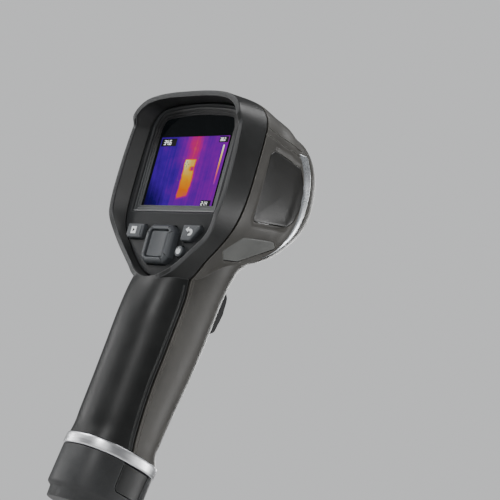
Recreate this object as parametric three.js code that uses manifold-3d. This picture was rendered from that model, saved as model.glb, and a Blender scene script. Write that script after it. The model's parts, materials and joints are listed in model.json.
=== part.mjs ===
// Handheld thermal imaging camera on a pistol handle.
// Millimetres, +Z up.  The camera stands on the flat base of its battery: that face is Z = 0,
// +Y is the lens side and +X is to the operator's right.
// The head is drawn in its own frame: origin at the middle of the picture, +Y forward along the
// display's normal, +Z up the display.  That frame leans back by LEAN when the camera stands.
import * as THREE from 'three';
import { mergeVertices } from 'three/addons/utils/BufferGeometryUtils.js';
import Module from 'manifold-3d';

const wasm = await Module();
wasm.setup();

// ---------- driving dimensions ----------
const LEAN = THREE.MathUtils.degToRad(10);       // head leans back over the battery base
const LENS_TILT = THREE.MathUtils.degToRad(8);   // lens axis above the display's normal
const BASE_IN_HEAD = new THREE.Vector3(0, -5.6, -193.6);   // centre of the base, in the head frame
const WALL = 3.0;                                // moulded wall thickness
const GAP = 0.35;                                // clearance between neighbouring pieces
const SEAM_HALF = 0.55;                          // half of the groove between the two shells

const PANEL_BACK = -4.8;                         // operator side of the control panel
const PANEL_FRONT = -2.3;
const GLASS = [-2.0, -0.8];
const BULKHEAD = [-0.5, 1.7];

const HANDLE = { half: 21.8, depth: 25.4 };      // half width and half depth of the handle
const RING_Z = [29.2, 35.4];                     // trim ring, heights above the base
const USB = { y: 20, half: [10.1, 6.6], floor: 43.9 };       // socket cover on top of the head
const TRIGGER = { half: 7.5, z: [116.6, 147.4] };
const LATCH = { y: [-6.4, 12.4], z: [13.4, 26.6] };          // release panel on each side of the battery
const TOLERANCE = 0.01;                          // edges shorter than this are closed up after a cut
const TAU = Math.PI * 2;

// Half outlines (X, Z) of the head's cross sections, from the top centre to the bottom centre.
const RIM = [[0, 43.6], [14, 43.4], [26, 42.3], [35.4, 40], [41.2, 36], [43.9, 32], [45.1, 28],
  [46.2, 20], [47.2, 8], [47.6, -4], [47.6, -14], [46.9, -22], [45.6, -28], [43.1, -34],
  [39, -40], [33, -46], [26.3, -52], [19.3, -58], [14, -62], [7, -65.4], [0, -66.8]];
const SEAM_SECTION = [[0, 46.6], [14, 46.2], [26, 45.2], [35, 42.6], [41, 37.6], [44, 30], [45, 20],
  [45.6, 6], [45.6, -10], [44.4, -22], [41, -32], [35, -41], [28.5, -49], [22, -58], [13, -65],
  [0, -68]];
const MIDDLE_SECTION = [[0, 45.6], [14, 45.2], [25, 44], [33, 41], [38.4, 35], [41.2, 27], [42.2, 12],
  [42, -8], [40.6, -20], [36.5, -30.5], [30, -38.5], [22, -46], [13, -51], [0, -53]];
const SHOULDER_SECTION = [[0, 44.4], [14, 44], [25, 42.4], [32.5, 39.2], [37.4, 33.2], [40, 25.4],
  [41, 11], [40.8, -7], [39, -18.4], [34.6, -28.4], [28, -35.8], [20, -41], [10, -43.6], [0, -44.2]];

// ---------- solids ----------
// A profile may run either way round: the triangles are turned so that the faces point out.
function toSolid(geometry) {
  const bare = new THREE.BufferGeometry();
  bare.setAttribute('position', geometry.getAttribute('position').clone());
  bare.setIndex(geometry.getIndex());
  const merged = mergeVertices(bare, 1e-4);
  const vertProperties = new Float32Array(merged.getAttribute('position').array);
  const triVerts = new Uint32Array(merged.getIndex().array);
  const solid = new wasm.Manifold(new wasm.Mesh({ numProp: 3, vertProperties, triVerts }));
  if (solid.volume() > 0) return solid;
  return new wasm.Manifold(new wasm.Mesh({ numProp: 3, vertProperties, triVerts: triVerts.reverse() }));
}

function toGeometry(solid) {
  const mesh = solid.setTolerance(TOLERANCE).getMesh();
  const geometry = new THREE.BufferGeometry();
  geometry.setAttribute('position', new THREE.BufferAttribute(mesh.vertProperties, 3));
  geometry.setIndex(new THREE.BufferAttribute(mesh.triVerts, 1));
  return geometry;
}

// The main body of a cut, without the slivers that grazing faces leave.
const mainBody = (solid) =>
  solid.decompose().reduce((a, b) => (b.volume() > a.volume() ? b : a));

const material = (color, roughness, metalness = 0) =>
  new THREE.MeshStandardMaterial({ color, roughness, metalness });

const M = {
  shell: material(0x1c1c1d, 0.55),
  nose: material(0x3a3835, 0.5),
  panel: material(0x2b2927, 0.45),
  keypad: material(0x2f3237, 0.55),
  key: material(0x3c4046, 0.5),
  silver: material(0xb9bcc0, 0.25, 1),
  glass: material(0x050507, 0.05),
  picture: material(0x3a0f7a, 0.3),
  rubber: material(0x141414, 0.8),
  board: material(0x14532d, 0.6),
  metal: material(0x9a9ca0, 0.35, 1),
  germanium: material(0x4a4f57, 0.1, 0.8),
  cell: material(0x2d5f9e, 0.4),
};

const camera = new THREE.Group();
const head = new THREE.Group();
head.rotation.x = LEAN;
head.position.copy(BASE_IN_HEAD).negate().applyAxisAngle(new THREE.Vector3(1, 0, 0), LEAN);
camera.add(head);
head.updateMatrix();
const headToRow = head.matrix.clone();
const rowToHead = headToRow.clone().invert();

function add(parent, name, shape, finish) {
  const geometry = shape.isBufferGeometry ? shape : toGeometry(shape);
  const mesh = new THREE.Mesh(geometry, finish);
  mesh.name = name;
  parent.add(mesh);
  return mesh;
}

// A plate whose outline lies in X and Z, running from y0 to y1.
function plate(shape, y0, y1, segments = 8) {
  const options = { depth: y1 - y0, bevelEnabled: false, curveSegments: segments };
  const geometry = new THREE.ExtrudeGeometry(shape, options);
  geometry.rotateX(Math.PI / 2);
  geometry.translate(0, y1, 0);
  return toSolid(geometry);
}

// A prism whose outline lies in Y and Z, running from x0 to x1.
function prism(points, x0, x1) {
  const shape = new THREE.Shape(points.map(([y, z]) => new THREE.Vector2(y, z)));
  const geometry = new THREE.ExtrudeGeometry(shape, { depth: x1 - x0, bevelEnabled: false });
  geometry.rotateY(Math.PI / 2);
  geometry.rotateX(Math.PI / 2);
  geometry.translate(x0, 0, 0);
  return toSolid(geometry);
}

function box(x0, x1, y0, y1, z0, z1) {
  const geometry = new THREE.BoxGeometry(x1 - x0, y1 - y0, z1 - z0);
  geometry.translate((x0 + x1) / 2, (y0 + y1) / 2, (z0 + z1) / 2);
  return toSolid(geometry);
}

// A turned piece: profile of [radius, height] pairs, its axis along +Y through x, z.
function turned(profile, segments = 32, x = 0, z = 0) {
  const points = profile.map(([r, h]) => new THREE.Vector2(r, h));
  const geometry = new THREE.LatheGeometry([...points, points[0].clone()], segments);
  geometry.translate(x, 0, z);
  return toSolid(geometry);
}

const disc = (radius, y0, y1, segments = 32, x = 0, z = 0) =>
  turned([[0, y0], [radius, y0], [radius, y1], [0, y1]], segments, x, z);

function roundedRectangle(halfX, halfZ, radius, x = 0, z = 0) {
  const shape = new THREE.Shape();
  shape.moveTo(x - halfX + radius, z - halfZ);
  shape.lineTo(x + halfX - radius, z - halfZ);
  shape.absarc(x + halfX - radius, z - halfZ + radius, radius, -Math.PI / 2, 0);
  shape.absarc(x + halfX - radius, z + halfZ - radius, radius, 0, Math.PI / 2);
  shape.absarc(x - halfX + radius, z + halfZ - radius, radius, Math.PI / 2, Math.PI);
  shape.absarc(x - halfX + radius, z - halfZ + radius, radius, Math.PI, 1.5 * Math.PI);
  return shape;
}

const polygon = (points) => new THREE.Shape(points.map(([x, z]) => new THREE.Vector2(x, z)));

const mirrored = (solid) => solid.mirror([1, 0, 0]);

// ---------- lofts ----------
const AROUND = 48;

// Radius of an outline at each of AROUND angles, seen from (0, centre).
function polarRadii(halfOutline, centre) {
  const right = halfOutline.map(([x, z]) => new THREE.Vector2(x, z));
  const left = right.slice(1, -1).reverse().map((p) => new THREE.Vector2(-p.x, p.y));
  const ring = [...right, ...left];
  return Array.from({ length: AROUND }, (_, i) => {
    const angle = (i / AROUND) * TAU;
    const ray = new THREE.Vector2(Math.sin(angle), Math.cos(angle));
    let best = 0;
    ring.forEach((a, k) => {
      const b = ring[(k + 1) % ring.length];
      const ax = a.x;
      const az = a.y - centre;
      const dx = b.x - a.x;
      const dz = b.y - a.y;
      const det = ray.x * dz - ray.y * dx;
      if (Math.abs(det) < 1e-9) return;
      const along = (ray.x * -az + ray.y * ax) / det;
      const reach = (ax * dz - az * dx) / det;
      if (along >= -1e-6 && along <= 1 + 1e-6 && reach > best) best = reach;
    });
    return best;
  });
}

function superellipseRadii(halfX, halfZ, power) {
  return Array.from({ length: AROUND }, (_, i) => {
    const angle = (i / AROUND) * TAU;
    const x = Math.abs(Math.sin(angle)) / halfX;
    const z = Math.abs(Math.cos(angle)) / halfZ;
    return (x ** power + z ** power) ** (-1 / power);
  });
}

// Skin over a list of stations { y, centre, radii }, closed by a flat fan at both ends.
// place(x, y, z) bends the finished loft.
function loft(stations, place = (x, y, z) => [x, y, z]) {
  const geometry = new THREE.CylinderGeometry(1, 1, 1, AROUND, stations.length - 1);
  const position = geometry.getAttribute('position');
  for (let i = 0; i < position.count; i += 1) {
    const px = position.getX(i);
    const pz = position.getZ(i);
    const index = Math.round((position.getY(i) + 0.5) * (stations.length - 1));
    const station = stations[index];
    const hub = Math.hypot(px, pz) < 1e-6;
    const step = Math.round(((Math.atan2(px, pz) + TAU) % TAU) / TAU * AROUND) % AROUND;
    const r = hub ? 0 : station.radii[step];
    const angle = (step / AROUND) * TAU;
    const out = place(r * Math.sin(angle), station.y, station.centre + r * Math.cos(angle), index);
    position.setXYZ(i, ...out);
  }
  return toSolid(geometry);
}

const smooth = (a, b, v) => THREE.MathUtils.smoothstep(v, Math.min(a, b), Math.max(a, b));

// The operator-side edge: the hood stands out above Z 26, and the edge draws in towards the grip.
function rimY(z) {
  return -11.5 - 3.0 * smooth(25, 31, z) + 3.6 * (1 - smooth(-42, -26, z)) - 2.0 * (1 - smooth(-67, -56, z));
}

function headStations(inset) {
  const grow = (radii) => radii.map((r) => r - inset);
  const back = (y) => y - inset * smooth(50, 75, y);
  const section = (y, outline, centre = -6) => ({ y, centre, radii: grow(polarRadii(outline, centre)) });
  const dome = (y, centre, halfX, halfZ, power) =>
    ({ y: back(y), centre, radii: grow(superellipseRadii(halfX, halfZ, power)) });
  return [
    section(-11.5, RIM),
    section(8, SEAM_SECTION),
    section(25, MIDDLE_SECTION),
    section(37, SHOULDER_SECTION),
    dome(48, 2.6, 39.6, 40, 3.3),
    dome(55, 4.4, 38, 37.8, 3.1),
    dome(61, 6.6, 36, 34, 2.9),
    dome(66, 8.6, 33.4, 29.6, 2.8),
    dome(70, 10, 30.6, 25, 2.7),
    dome(73, 10.8, 27.6, 21.2, 2.7),
    dome(75, 11, 25, 18.6, 2.7),
  ];
}

// Ties the first station to the rim's edge and leans the front of the nose back to the lens tilt.
function bendHead(x, y, z, index) {
  const lean = smooth(52, 75, y) * Math.tan(LENS_TILT) * (z - 11);
  return [x, index === 0 ? rimY(z) : y - lean, z];
}

// The handle, drawn in the row frame where it is upright, then carried into the head frame.
function handleSolid(inset, bottom, top) {
  const section = (z, half, depth, y) => ({ z, half, depth, y });
  const all = [
    section(35.6, HANDLE.half - 0.2, HANDLE.depth - 0.6, 0),
    section(41, HANDLE.half - 0.8, HANDLE.depth - 2.4, -1.3),
    section(50, 21.1, 23, -1.8),
    section(66, 21.2, 23.7, -1.9),
    section(88, 21.6, 25, -1.9),
    section(108, 21.8, 25.8, -2.4),
    section(121, 22, 25.6, -2.6),
    section(136, 22, 24.8, -2.2),
    section(149, 22.6, 25.4, -2),
    section(156, 23.6, 25.8, -1.4),
    section(162, 25.6, 28.4, -0.4),
    section(168, 28, 31.4, 0),
  ];
  const used = all.filter((s) => s.z >= bottom && s.z <= top);
  const stations = used.map((s) => ({
    y: s.z, centre: s.y, radii: superellipseRadii(s.half, s.depth, 2.5).map((r) => r - inset),
  }));
  const solid = loft(stations, (x, up, along) => [x, along, up]);
  return solid.transform(rowToHead.toArray());
}

const SEAM_LINE = [[2, 60], [5.5, 44], [8.6, 33], [8.4, 24], [7.4, 8], [6.6, -10], [5.4, -28], [4.2, -46],
  [4, -60], [3.6, -74], [0.2, -102], [-2.2, -120], [-3.8, -142], [-3.6, -170]];

// Everything in front of the shell joint, moved forward by shift.
const frontOfSeam = (shift) =>
  prism([...SEAM_LINE.map(([y, z]) => [y + shift, z]), [120, -170], [120, 60]].reverse(), -70, 70);

// Everything in front of the nose joint, an arc in the side view.
const NOSE_ARC = { y: 13, z: 2, radius: 48 };
const CRESCENT = { y: 2, z: -4, radius: 52, top: 28.5, bottom: -37.5 };     // inner edge of the bright trim
function frontOfNose(shift) {
  const disk = disc(NOSE_ARC.radius + shift, -70, 70, 48).rotate([0, 0, 90]);
  const ahead = prism([[37, 60], [120, 60], [120, -50], [46, -50], [45.4, -34], [37, 0]]
    .map(([y, z]) => [y + shift, z]), -70, 70);
  return ahead.subtract(disk.translate([0, NOSE_ARC.y, NOSE_ARC.z]));
}

// ---------- shells ----------
const outer = loft(headStations(0), bendHead).add(handleSolid(0, 35, 170));
const headHollow = loft(headStations(WALL).slice(1), bendHead)
  .subtract(box(-60, 60, -40, BULKHEAD[1], -70, 60));
const behindKeypad = box(-60, 60, -60, BULKHEAD[1] + 0.5, -68, 60);
const handleHollow = handleSolid(WALL, 35, 150).add(handleSolid(WALL, 35, 42).translate([0, 1, -5]))
  .subtract(behindKeypad);
const hollow = headHollow.add(handleHollow);

const FLOOR = [[0, 40.6], [12, 40.4], [24, 39.2], [31.5, 36.4], [36, 31.4], [38, 25], [38.8, 8], [39, -8],
  [38.6, -20], [37.6, -28], [34.6, -35.5], [28, -43.5], [20, -51.5], [12, -58], [5, -61.4], [0, -62.2]];

// The funnel between the rim and the control panel, and the pocket that the panel sits in.
const mouthRadii = polarRadii(RIM, -6).map((r) => r - 2.9);
const floorRadii = polarRadii(FLOOR, -6);
const funnel = loft(
  [{ y: -30, centre: -6, radii: mouthRadii }, { y: -11.5, centre: -6, radii: mouthRadii },
    { y: PANEL_BACK, centre: -6, radii: floorRadii }, { y: BULKHEAD[0], centre: -6, radii: floorRadii }],
  (x, y, z, index) => [x, index === 1 ? rimY(z) + 0.01 : y, z],
);

const WINDOW = new THREE.Shape();
WINDOW.moveTo(-34, -24);
WINDOW.lineTo(34, -24);
WINDOW.lineTo(34.4, 26);
WINDOW.bezierCurveTo(34.4, 33, 30, 35.6, 22, 36.8);
WINDOW.quadraticCurveTo(0, 39.4, -22, 36.8);
WINDOW.bezierCurveTo(-30, 35.6, -34.4, 33, -34.4, 26);

const lcdOpening = plate(roundedRectangle(34.2, 25.4, 2, 0, 0.6), BULKHEAD[0] - 1, 10);
const switchOpening = plate(roundedRectangle(24, 10, 2, 0, -43), BULKHEAD[0] - 1, 10);
const usbRecess = box(-USB.half[0] - 0.4, USB.half[0] + 0.4, USB.y - USB.half[1] - 0.4,
  USB.y + USB.half[1] + 0.4, USB.floor, 60);
const usbPort = box(-6.6, 6.6, USB.y - 4, USB.y + 4, 36, 60);

// Side panels and their frames, in the side view.
const PANEL_OUTLINE = [[21, 21], [46.5, 20.2], [53.4, 8], [53.6, -2], [51.2, -10], [47, -14.6], [20, -20.8],
  [17.9, -19], [17.6, 17.5]];
function crescentRegion(outerRadius, innerRadius, margin) {
  const across = (radius) => disc(radius, -80, 80, 48).rotate([0, 0, 90]);
  const outside = across(outerRadius).translate([0, NOSE_ARC.y, NOSE_ARC.z]);
  const inside = across(innerRadius).translate([0, CRESCENT.y, CRESCENT.z]);
  const limits = box(15.7 + margin, 80, 20, 90, CRESCENT.bottom + margin, CRESCENT.top);
  return outside.subtract(inside).intersect(limits);
}

// Pieces let into the side of the front shell: each fills an opening of its own shape.
const outwards = (points, centre, distance) => points.map(([y, z]) => {
  const away = new THREE.Vector2(y - centre[0], z - centre[1]);
  away.setLength(away.length() + distance);
  return [centre[0] + away.x, centre[1] + away.y];
});
const PLATE_OUTLINE = [[17.5, -31], [42.5, -25], [46.6, -27.6], [30, -41.2], [16, -44.5], [9.2, -41.5]];
const shell = outer.subtract(hollow);
const panelOpening = prism(outwards(PANEL_OUTLINE, [33, 0], 0.5), 20, 60);
const sideOpenings = panelOpening.add(crescentRegion(NOSE_ARC.radius + 3, CRESCENT.radius, 0));
const ratingOpening = prism(outwards(PLATE_OUTLINE, [27, -34], 0.45), 18, 60);
const panelRight = shell.intersect(prism(PANEL_OUTLINE, 20, 60));
const crescentRight = shell
  .intersect(crescentRegion(NOSE_ARC.radius - GAP, CRESCENT.radius + GAP, GAP))
  .subtract(prism(outwards(PANEL_OUTLINE, [33, 0], 0.9), 20, 60));
const ratingRight = shell.intersect(prism(PLATE_OUTLINE, 18, 60));

const inHead = (solid) => solid.transform(rowToHead.toArray());
const triggerSlot = inHead(box(-TRIGGER.half - 0.4, TRIGGER.half + 0.4, 9, 45, TRIGGER.z[0], TRIGGER.z[1]));

const rear = shell.subtract(frontOfSeam(-SEAM_HALF))
  .subtract(funnel).subtract(lcdOpening).subtract(switchOpening);
const front = shell.intersect(frontOfSeam(SEAM_HALF)).subtract(frontOfNose(-GAP))
  .subtract(sideOpenings).subtract(mirrored(sideOpenings))
  .subtract(ratingOpening).subtract(triggerSlot).subtract(usbRecess).subtract(usbPort);
const NOSE_FRAME = new THREE.Matrix4().makeRotationX(LENS_TILT).setPosition(0, 75, 11);
const noseOpening = plate(roundedRectangle(21.5, 15, 12), -8, 8).transform(NOSE_FRAME.toArray());
const nose = shell.intersect(frontOfNose(0)).subtract(noseOpening);

add(head, 'rear_housing', mainBody(rear), M.shell);
add(head, 'front_housing', mainBody(front), M.nose);
add(head, 'nose_bezel', mainBody(nose), M.nose);
add(head, 'side_panel_right', mainBody(panelRight), M.panel);
add(head, 'side_panel_left', mirrored(mainBody(panelRight)), M.panel);
add(head, 'chrome_trim_right', mainBody(crescentRight), M.silver);
add(head, 'chrome_trim_left', mirrored(mainBody(crescentRight)), M.silver);
add(head, 'rating_plate', mainBody(ratingRight), M.panel);

// ---------- display and keypad ----------
const withinFloor = (solid, inset) => solid.intersect(loft(
  [{ y: -20, centre: -6, radii: floorRadii.map((r) => r - inset) },
    { y: 20, centre: -6, radii: floorRadii.map((r) => r - inset) }]));

const KEYS = {
  archive: { cap: [[-30, -32.6], [-16.4, -32.6], [-16.4, -40.6], [-28.8, -40.6], [-30, -39]] },
  return: { cap: [[16.4, -32.6], [29.6, -32.6], [29.6, -34.8], [24.2, -41.4], [16.4, -41.4]] },
  power: { x: 17.2, z: -47.4, radius: 3.1 },
};
const NAV = { z: -44, half: [11.4, 10.9], chamfer: 3.6, back: -3.4, top: -9.2 };
const CENTRE_KEY = { half: [7.4, 7.6], top: -8.3 };

const chamfered = (halfX, halfZ, cut, z) => polygon([
  [-halfX + cut, z - halfZ], [halfX - cut, z - halfZ], [halfX, z - halfZ + cut], [halfX, z + halfZ - cut],
  [halfX - cut, z + halfZ], [-halfX + cut, z + halfZ], [-halfX, z + halfZ - cut], [-halfX, z - halfZ + cut]]);

function around(points, margin) {
  const x = points.reduce((sum, p) => sum + p[0], 0) / points.length;
  const z = points.reduce((sum, p) => sum + p[1], 0) / points.length;
  return points.map((p) => [p[0] + Math.sign(p[0] - x) * margin, p[1] + Math.sign(p[1] - z) * margin]);
}

let panel = withinFloor(plate(roundedRectangle(60, 80, 4), PANEL_BACK, PANEL_FRONT), 0.45)
  .subtract(plate(WINDOW, -10, 10, 12))
  .subtract(plate(chamfered(NAV.half[0] + 0.5, NAV.half[1] + 0.5, NAV.chamfer, NAV.z), -10, 10))
  .subtract(disc(KEYS.power.radius + GAP, -10, 10, 24, KEYS.power.x, KEYS.power.z))
  .subtract(disc(KEYS.power.radius + 1.2, -3.5, 0, 24, KEYS.power.x, KEYS.power.z));
for (const name of ['archive', 'return']) {
  panel = panel.subtract(plate(polygon(around(KEYS[name].cap, GAP)), -10, 10))
    .subtract(plate(polygon(around(KEYS[name].cap, 1.2)), -3.5, 0));
}
add(head, 'control_panel', panel, M.keypad);

const GLASS_GROWTH = { x: 1.035, z: 1.04, centre: 7 };      // the glass reaches behind the window's edge
const grownPoint = (p) =>
  new THREE.Vector2(p.x * GLASS_GROWTH.x, GLASS_GROWTH.centre + (p.y - GLASS_GROWTH.centre) * GLASS_GROWTH.z);
const glassShape = new THREE.Shape(WINDOW.getPoints(12).map(grownPoint));
add(head, 'display_glass', withinFloor(plate(glassShape, ...GLASS), 0.9), M.glass);
add(head, 'lcd_module', plate(roundedRectangle(33.7, 24.9, 1.5, 0, 0.6), -0.4, 4.4), M.picture);
add(head, 'key_mat', plate(polygon([[-31, -31], [31, -31], [31, -37], [14, -55], [-14, -55], [-31, -37]]),
  -1.35, -0.85), M.rubber);

for (const name of ['archive', 'return']) {
  const cap = plate(polygon(KEYS[name].cap), -7.4, -3.2);
  const flange = plate(polygon(around(KEYS[name].cap, 0.8)), -3.2, -2.4);
  add(head, `${name}_key`, cap.add(flange), M.key);
}
add(head, 'power_key', turned([[0, -6.9], [2.7, -6.9], [3.1, -6.5], [3.1, -3.2], [3.9, -3.2], [3.9, -2.4],
  [0, -2.4]], 24, KEYS.power.x, KEYS.power.z), M.key);

const centreHole = plate(
  roundedRectangle(CENTRE_KEY.half[0] + 0.4, CENTRE_KEY.half[1] + 0.4, 2, 0, NAV.z), -20, 5);
add(head, 'nav_gimbal', plate(roundedRectangle(9.4, 9, 1.5, 0, NAV.z), -2.9, -2.3)
  .subtract(plate(roundedRectangle(6, 6, 1, 0, NAV.z), -5, 0)), M.metal);
add(head, 'nav_ring', plate(chamfered(...NAV.half, NAV.chamfer, NAV.z), NAV.top, NAV.back)
  .subtract(centreHole), M.key);
add(head, 'nav_centre_key', plate(roundedRectangle(...CENTRE_KEY.half, 1.8, 0, NAV.z), CENTRE_KEY.top, -3.9),
  M.key);

// ---------- electronics in the head ----------
const BOARD_Y = [12, 13.6];
const boardHoles = [[-26, 30], [26, 30], [-26, -24], [26, -24]];
let board = plate(roundedRectangle(30, 31, 2, 0, 3), ...BOARD_Y);
for (const [x, z] of boardHoles) board = board.subtract(disc(1.5, 10, 16, 16, x, z));
add(head, 'main_board', board, M.board);
boardHoles.forEach(([x, z], i) => {
  add(head, `board_screw_${i + 1}`, turned([[0, 10.2], [2.3, 10.2], [2.3, 11.6], [1.15, 11.6], [1.15, 17],
    [0, 17]], 12, x, z), M.metal);
});
add(head, 'processor_can', box(-11, 11, 13.9, 17, -6, 16), M.metal);
add(head, 'usb_socket', box(-4.1, 4.1, USB.y - 2.6, USB.y + 2.6, 35, 41.2), M.metal);

const cover = loft(headStations(0), bendHead).intersect(
  box(-USB.half[0], USB.half[0], USB.y - USB.half[1], USB.y + USB.half[1], USB.floor + GAP, 60));
add(head, 'usb_cover', cover.add(box(-4.8, 4.8, USB.y - 2.4, USB.y + 2.4, 42.6, 44.8)), M.rubber);

// ---------- optics in the nose, on the lens axis ----------
const optics = new THREE.Group();
optics.position.set(0, 75, 11);
optics.rotation.x = LENS_TILT;
head.add(optics);

const LENS = { x: 0, z: 1, mouth: 6.9 };
const PIVOT = { x: -8, z: -6.5, arm: 10.97, knobArm: 6 };
const STOWED = THREE.MathUtils.degToRad(131.2);
const KNOB_TURN = THREE.MathUtils.degToRad(70);
const SWING = THREE.MathUtils.degToRad(88);
const about = (radius, angle) => [PIVOT.x + radius * Math.cos(angle), PIVOT.z + radius * Math.sin(angle)];

let lensPlate = plate(roundedRectangle(21.1, 14.6, 11.6), -3.2, -0.6)
  .subtract(turned([[0, 1], [13, 1], [12.6, -0.9], [LENS.mouth, -2.6], [LENS.mouth, -5], [0, -5]],
    28, LENS.x, LENS.z))
  .subtract(disc(4.3, -5, 2, 24, 14.8, 4.6))
  .subtract(disc(1.45, -5, 2, 16, PIVOT.x, PIVOT.z));
for (let i = 0; i <= 8; i += 1) {
  const [x, z] = about(PIVOT.knobArm, STOWED + KNOB_TURN - (SWING * i) / 8);
  lensPlate = lensPlate.subtract(disc(1.85, -5, 2, 16, x, z));
}
add(optics, 'lens_plate', mainBody(lensPlate), M.panel);

const stowed = about(PIVOT.arm, STOWED);
const knob = about(PIVOT.knobArm, STOWED + KNOB_TURN);
const arm = polygon([[PIVOT.x - 2.4, PIVOT.z - 3], [PIVOT.x + 2.9, PIVOT.z - 1.2],
  [stowed[0] + 5.4, stowed[1] + 3], [stowed[0] - 5, stowed[1] - 4.4], [knob[0] - 1.6, knob[1] - 1.4],
  [knob[0] + 1.4, knob[1] - 1.8]]);
add(optics, 'lens_cover', disc(7.8, -4.9, -3.7, 32, ...stowed).add(plate(arm, -4.9, -3.7))
  .add(disc(1.4, -4.9, 2.2, 20, ...knob))
  .subtract(disc(1.45, -6, 0, 16, PIVOT.x, PIVOT.z)), M.nose);
add(optics, 'cover_pin', turned([[0, -5.1], [1.1, -5.1], [1.1, -0.9], [0, -0.9]],
  16, PIVOT.x, PIVOT.z), M.metal);
add(optics, 'lens_barrel', turned([[8.8, -6], [10.4, -6], [10.4, -16], [15, -16], [15, -18], [10.4, -18],
  [10.4, -24], [5, -24], [5, -14.2], [8.8, -14.2]], 28, LENS.x, LENS.z), M.metal);
add(optics, 'lens_ring', turned([[6.6, -6.6], [8.4, -6.6], [8.4, -8.6], [6.6, -8.6]],
  28, LENS.x, LENS.z), M.metal);
add(optics, 'infrared_lens', turned([[0, -8.3], [3.2, -8.6], [6, -9.6], [6.2, -9.7], [8.4, -9.7], [8.4, -12],
  [0, -12.6]], 28, LENS.x, LENS.z), M.germanium);
add(optics, 'detector_module', box(-8, 8, -31, -24.4, -7, 9), M.metal);
add(optics, 'sensor_board', plate(roundedRectangle(17, 15, 2, LENS.x, LENS.z), -33, -31.4), M.board);
const VISUAL = { x: 14.8, z: 4.6 };
add(optics, 'visual_camera', turned([[0, -14], [3.9, -14], [3.9, -2], [2.6, -2], [1.6, -3.4], [0, -3.4]],
  24, VISUAL.x, VISUAL.z), M.rubber);
add(optics, 'camera_window', disc(3.9, -1.6, -0.9, 24, VISUAL.x, VISUAL.z), M.glass);

// ---------- trigger ----------
const TRIGGER_PIVOT = [14.5, 143];
const fingerFace = [[11.6, 146.6], [23.4, 146.6], [27.4, 143.4], [29.4, 138], [29.8, 132], [29.6, 126],
  [28.2, 121], [26, 118.6], [20, 118.6], [12.4, 122]];
const pinAt = (radius, halfLength) => disc(radius, -halfLength, halfLength, 20).rotate([0, 0, 90])
  .translate([0, ...TRIGGER_PIVOT]);
add(camera, 'trigger', prism(fingerFace, -TRIGGER.half, TRIGGER.half).subtract(pinAt(1.6, 20))
  .subtract(disc(3.1, 10, 17, 20, 0, 131)), M.rubber);
add(camera, 'trigger_pin', pinAt(1.25, 9.9), M.metal);
const cheek = box(8.3, 9.8, 1.6, 17, 138, 148);
add(camera, 'trigger_bracket', box(-10, 10, 0, 2, 118, 149).add(cheek).add(mirrored(cheek))
  .subtract(pinAt(1.6, 20)), M.metal);
add(camera, 'trigger_switch', box(-3.2, 3.2, 2.3, 8, 119.6, 125.6), M.rubber);

class Helix extends THREE.Curve {
  getPoint(t) {
    const turns = 4;
    const angle = t * turns * TAU;
    return new THREE.Vector3(2.3 * Math.cos(angle), 2.9 + 11.8 * t, 131 + 2.3 * Math.sin(angle));
  }
}
const wire = new THREE.Shape().absarc(0, 0, 0.3, 0, TAU);
add(camera, 'trigger_spring', toSolid(new THREE.ExtrudeGeometry(wire,
  { steps: 45, bevelEnabled: false, extrudePath: new Helix(), curveSegments: 3 })), M.metal);

// ---------- handle ring and battery ----------
// A tube or block with the handle's rounded section, from z0 to z1.
function grip(half, depth, z0, z1, topHalf = half, topDepth = depth) {
  return loft([
    { y: z0, centre: 0, radii: superellipseRadii(half, depth, 2.5) },
    { y: z1, centre: 0, radii: superellipseRadii(topHalf, topDepth, 2.5) },
  ], (x, up, along) => [x, along, up]);
}
const { half, depth } = HANDLE;
add(camera, 'handle_ring', grip(half + 0.5, depth + 0.5, RING_Z[0], RING_Z[1] - 0.2)
  .subtract(grip(half - 3.4, depth - 3.4, 20, 45)), M.silver);

const latchWindow = (margin) => box(15.6, 40, LATCH.y[0] - margin, LATCH.y[1] + margin,
  LATCH.z[0] - margin, LATCH.z[1] + margin);
const baseBody = grip(half - 2.4, depth - 2.4, 0, 3.6).add(grip(half - 2.4, depth - 2.4, 3.5, 5, half, depth))
  .add(grip(half, depth, 5, RING_Z[0] - GAP));
const latchSkin = baseBody.subtract(grip(half - 3, depth - 3, -1, 40)).intersect(latchWindow(0));
const tongue = box(15.2, 17, -4, 4, 18, 39.4);
const latch = mainBody(latchSkin.add(tongue.intersect(box(0, 40, -9, 9, 20, 50)))
  .add(box(15.2, 19.4, -4, 4, 19, 24)));
const latchRoom = latchWindow(0.45).add(box(13.6, 20, -5, 5, 17, 60));
const neck = grip(13, 16, RING_Z[0] - 1, 100);
const batteryCase = baseBody.add(neck).subtract(latchRoom).subtract(mirrored(latchRoom))
  .subtract(grip(11.2, 13.6, 8, 120));
add(camera, 'battery_case', mainBody(batteryCase), M.shell);
add(camera, 'latch_right', latch, M.keypad);
add(camera, 'latch_left', mirrored(latch), M.keypad);
const upright = (solid, z) => solid.rotate([90, 0, 0]).translate([0, 0, z]);
add(camera, 'battery_cell', upright(disc(9.1, -32.5, 32.5, 36), 60), M.cell);
add(camera, 'battery_board', box(-7.4, 7.4, -9, 9, 94, 95.6), M.board);
add(camera, 'battery_cap', grip(12.8, 15.8, 100.35, 102).add(grip(10.8, 13.2, 97, 101)), M.rubber);
const CONTACT_X = [-6, -2, 2, 6];
CONTACT_X.forEach((x, i) => {
  add(camera, `battery_contact_${i + 1}`, box(x - 1, x + 1, -5, 5, 102.3, 102.8), M.metal);
  add(camera, `contact_pin_${i + 1}`, box(x - 0.6, x + 0.6, -2, 2, 103.1, 107.4), M.metal);
});
let block = box(-12, 12, -10, 10, 104.2, 112);
for (const x of CONTACT_X) block = block.subtract(box(x - 0.95, x + 0.95, -2.35, 2.35, 90, 107.8));
add(camera, 'contact_block', block, M.rubber);

export default camera;
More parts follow.
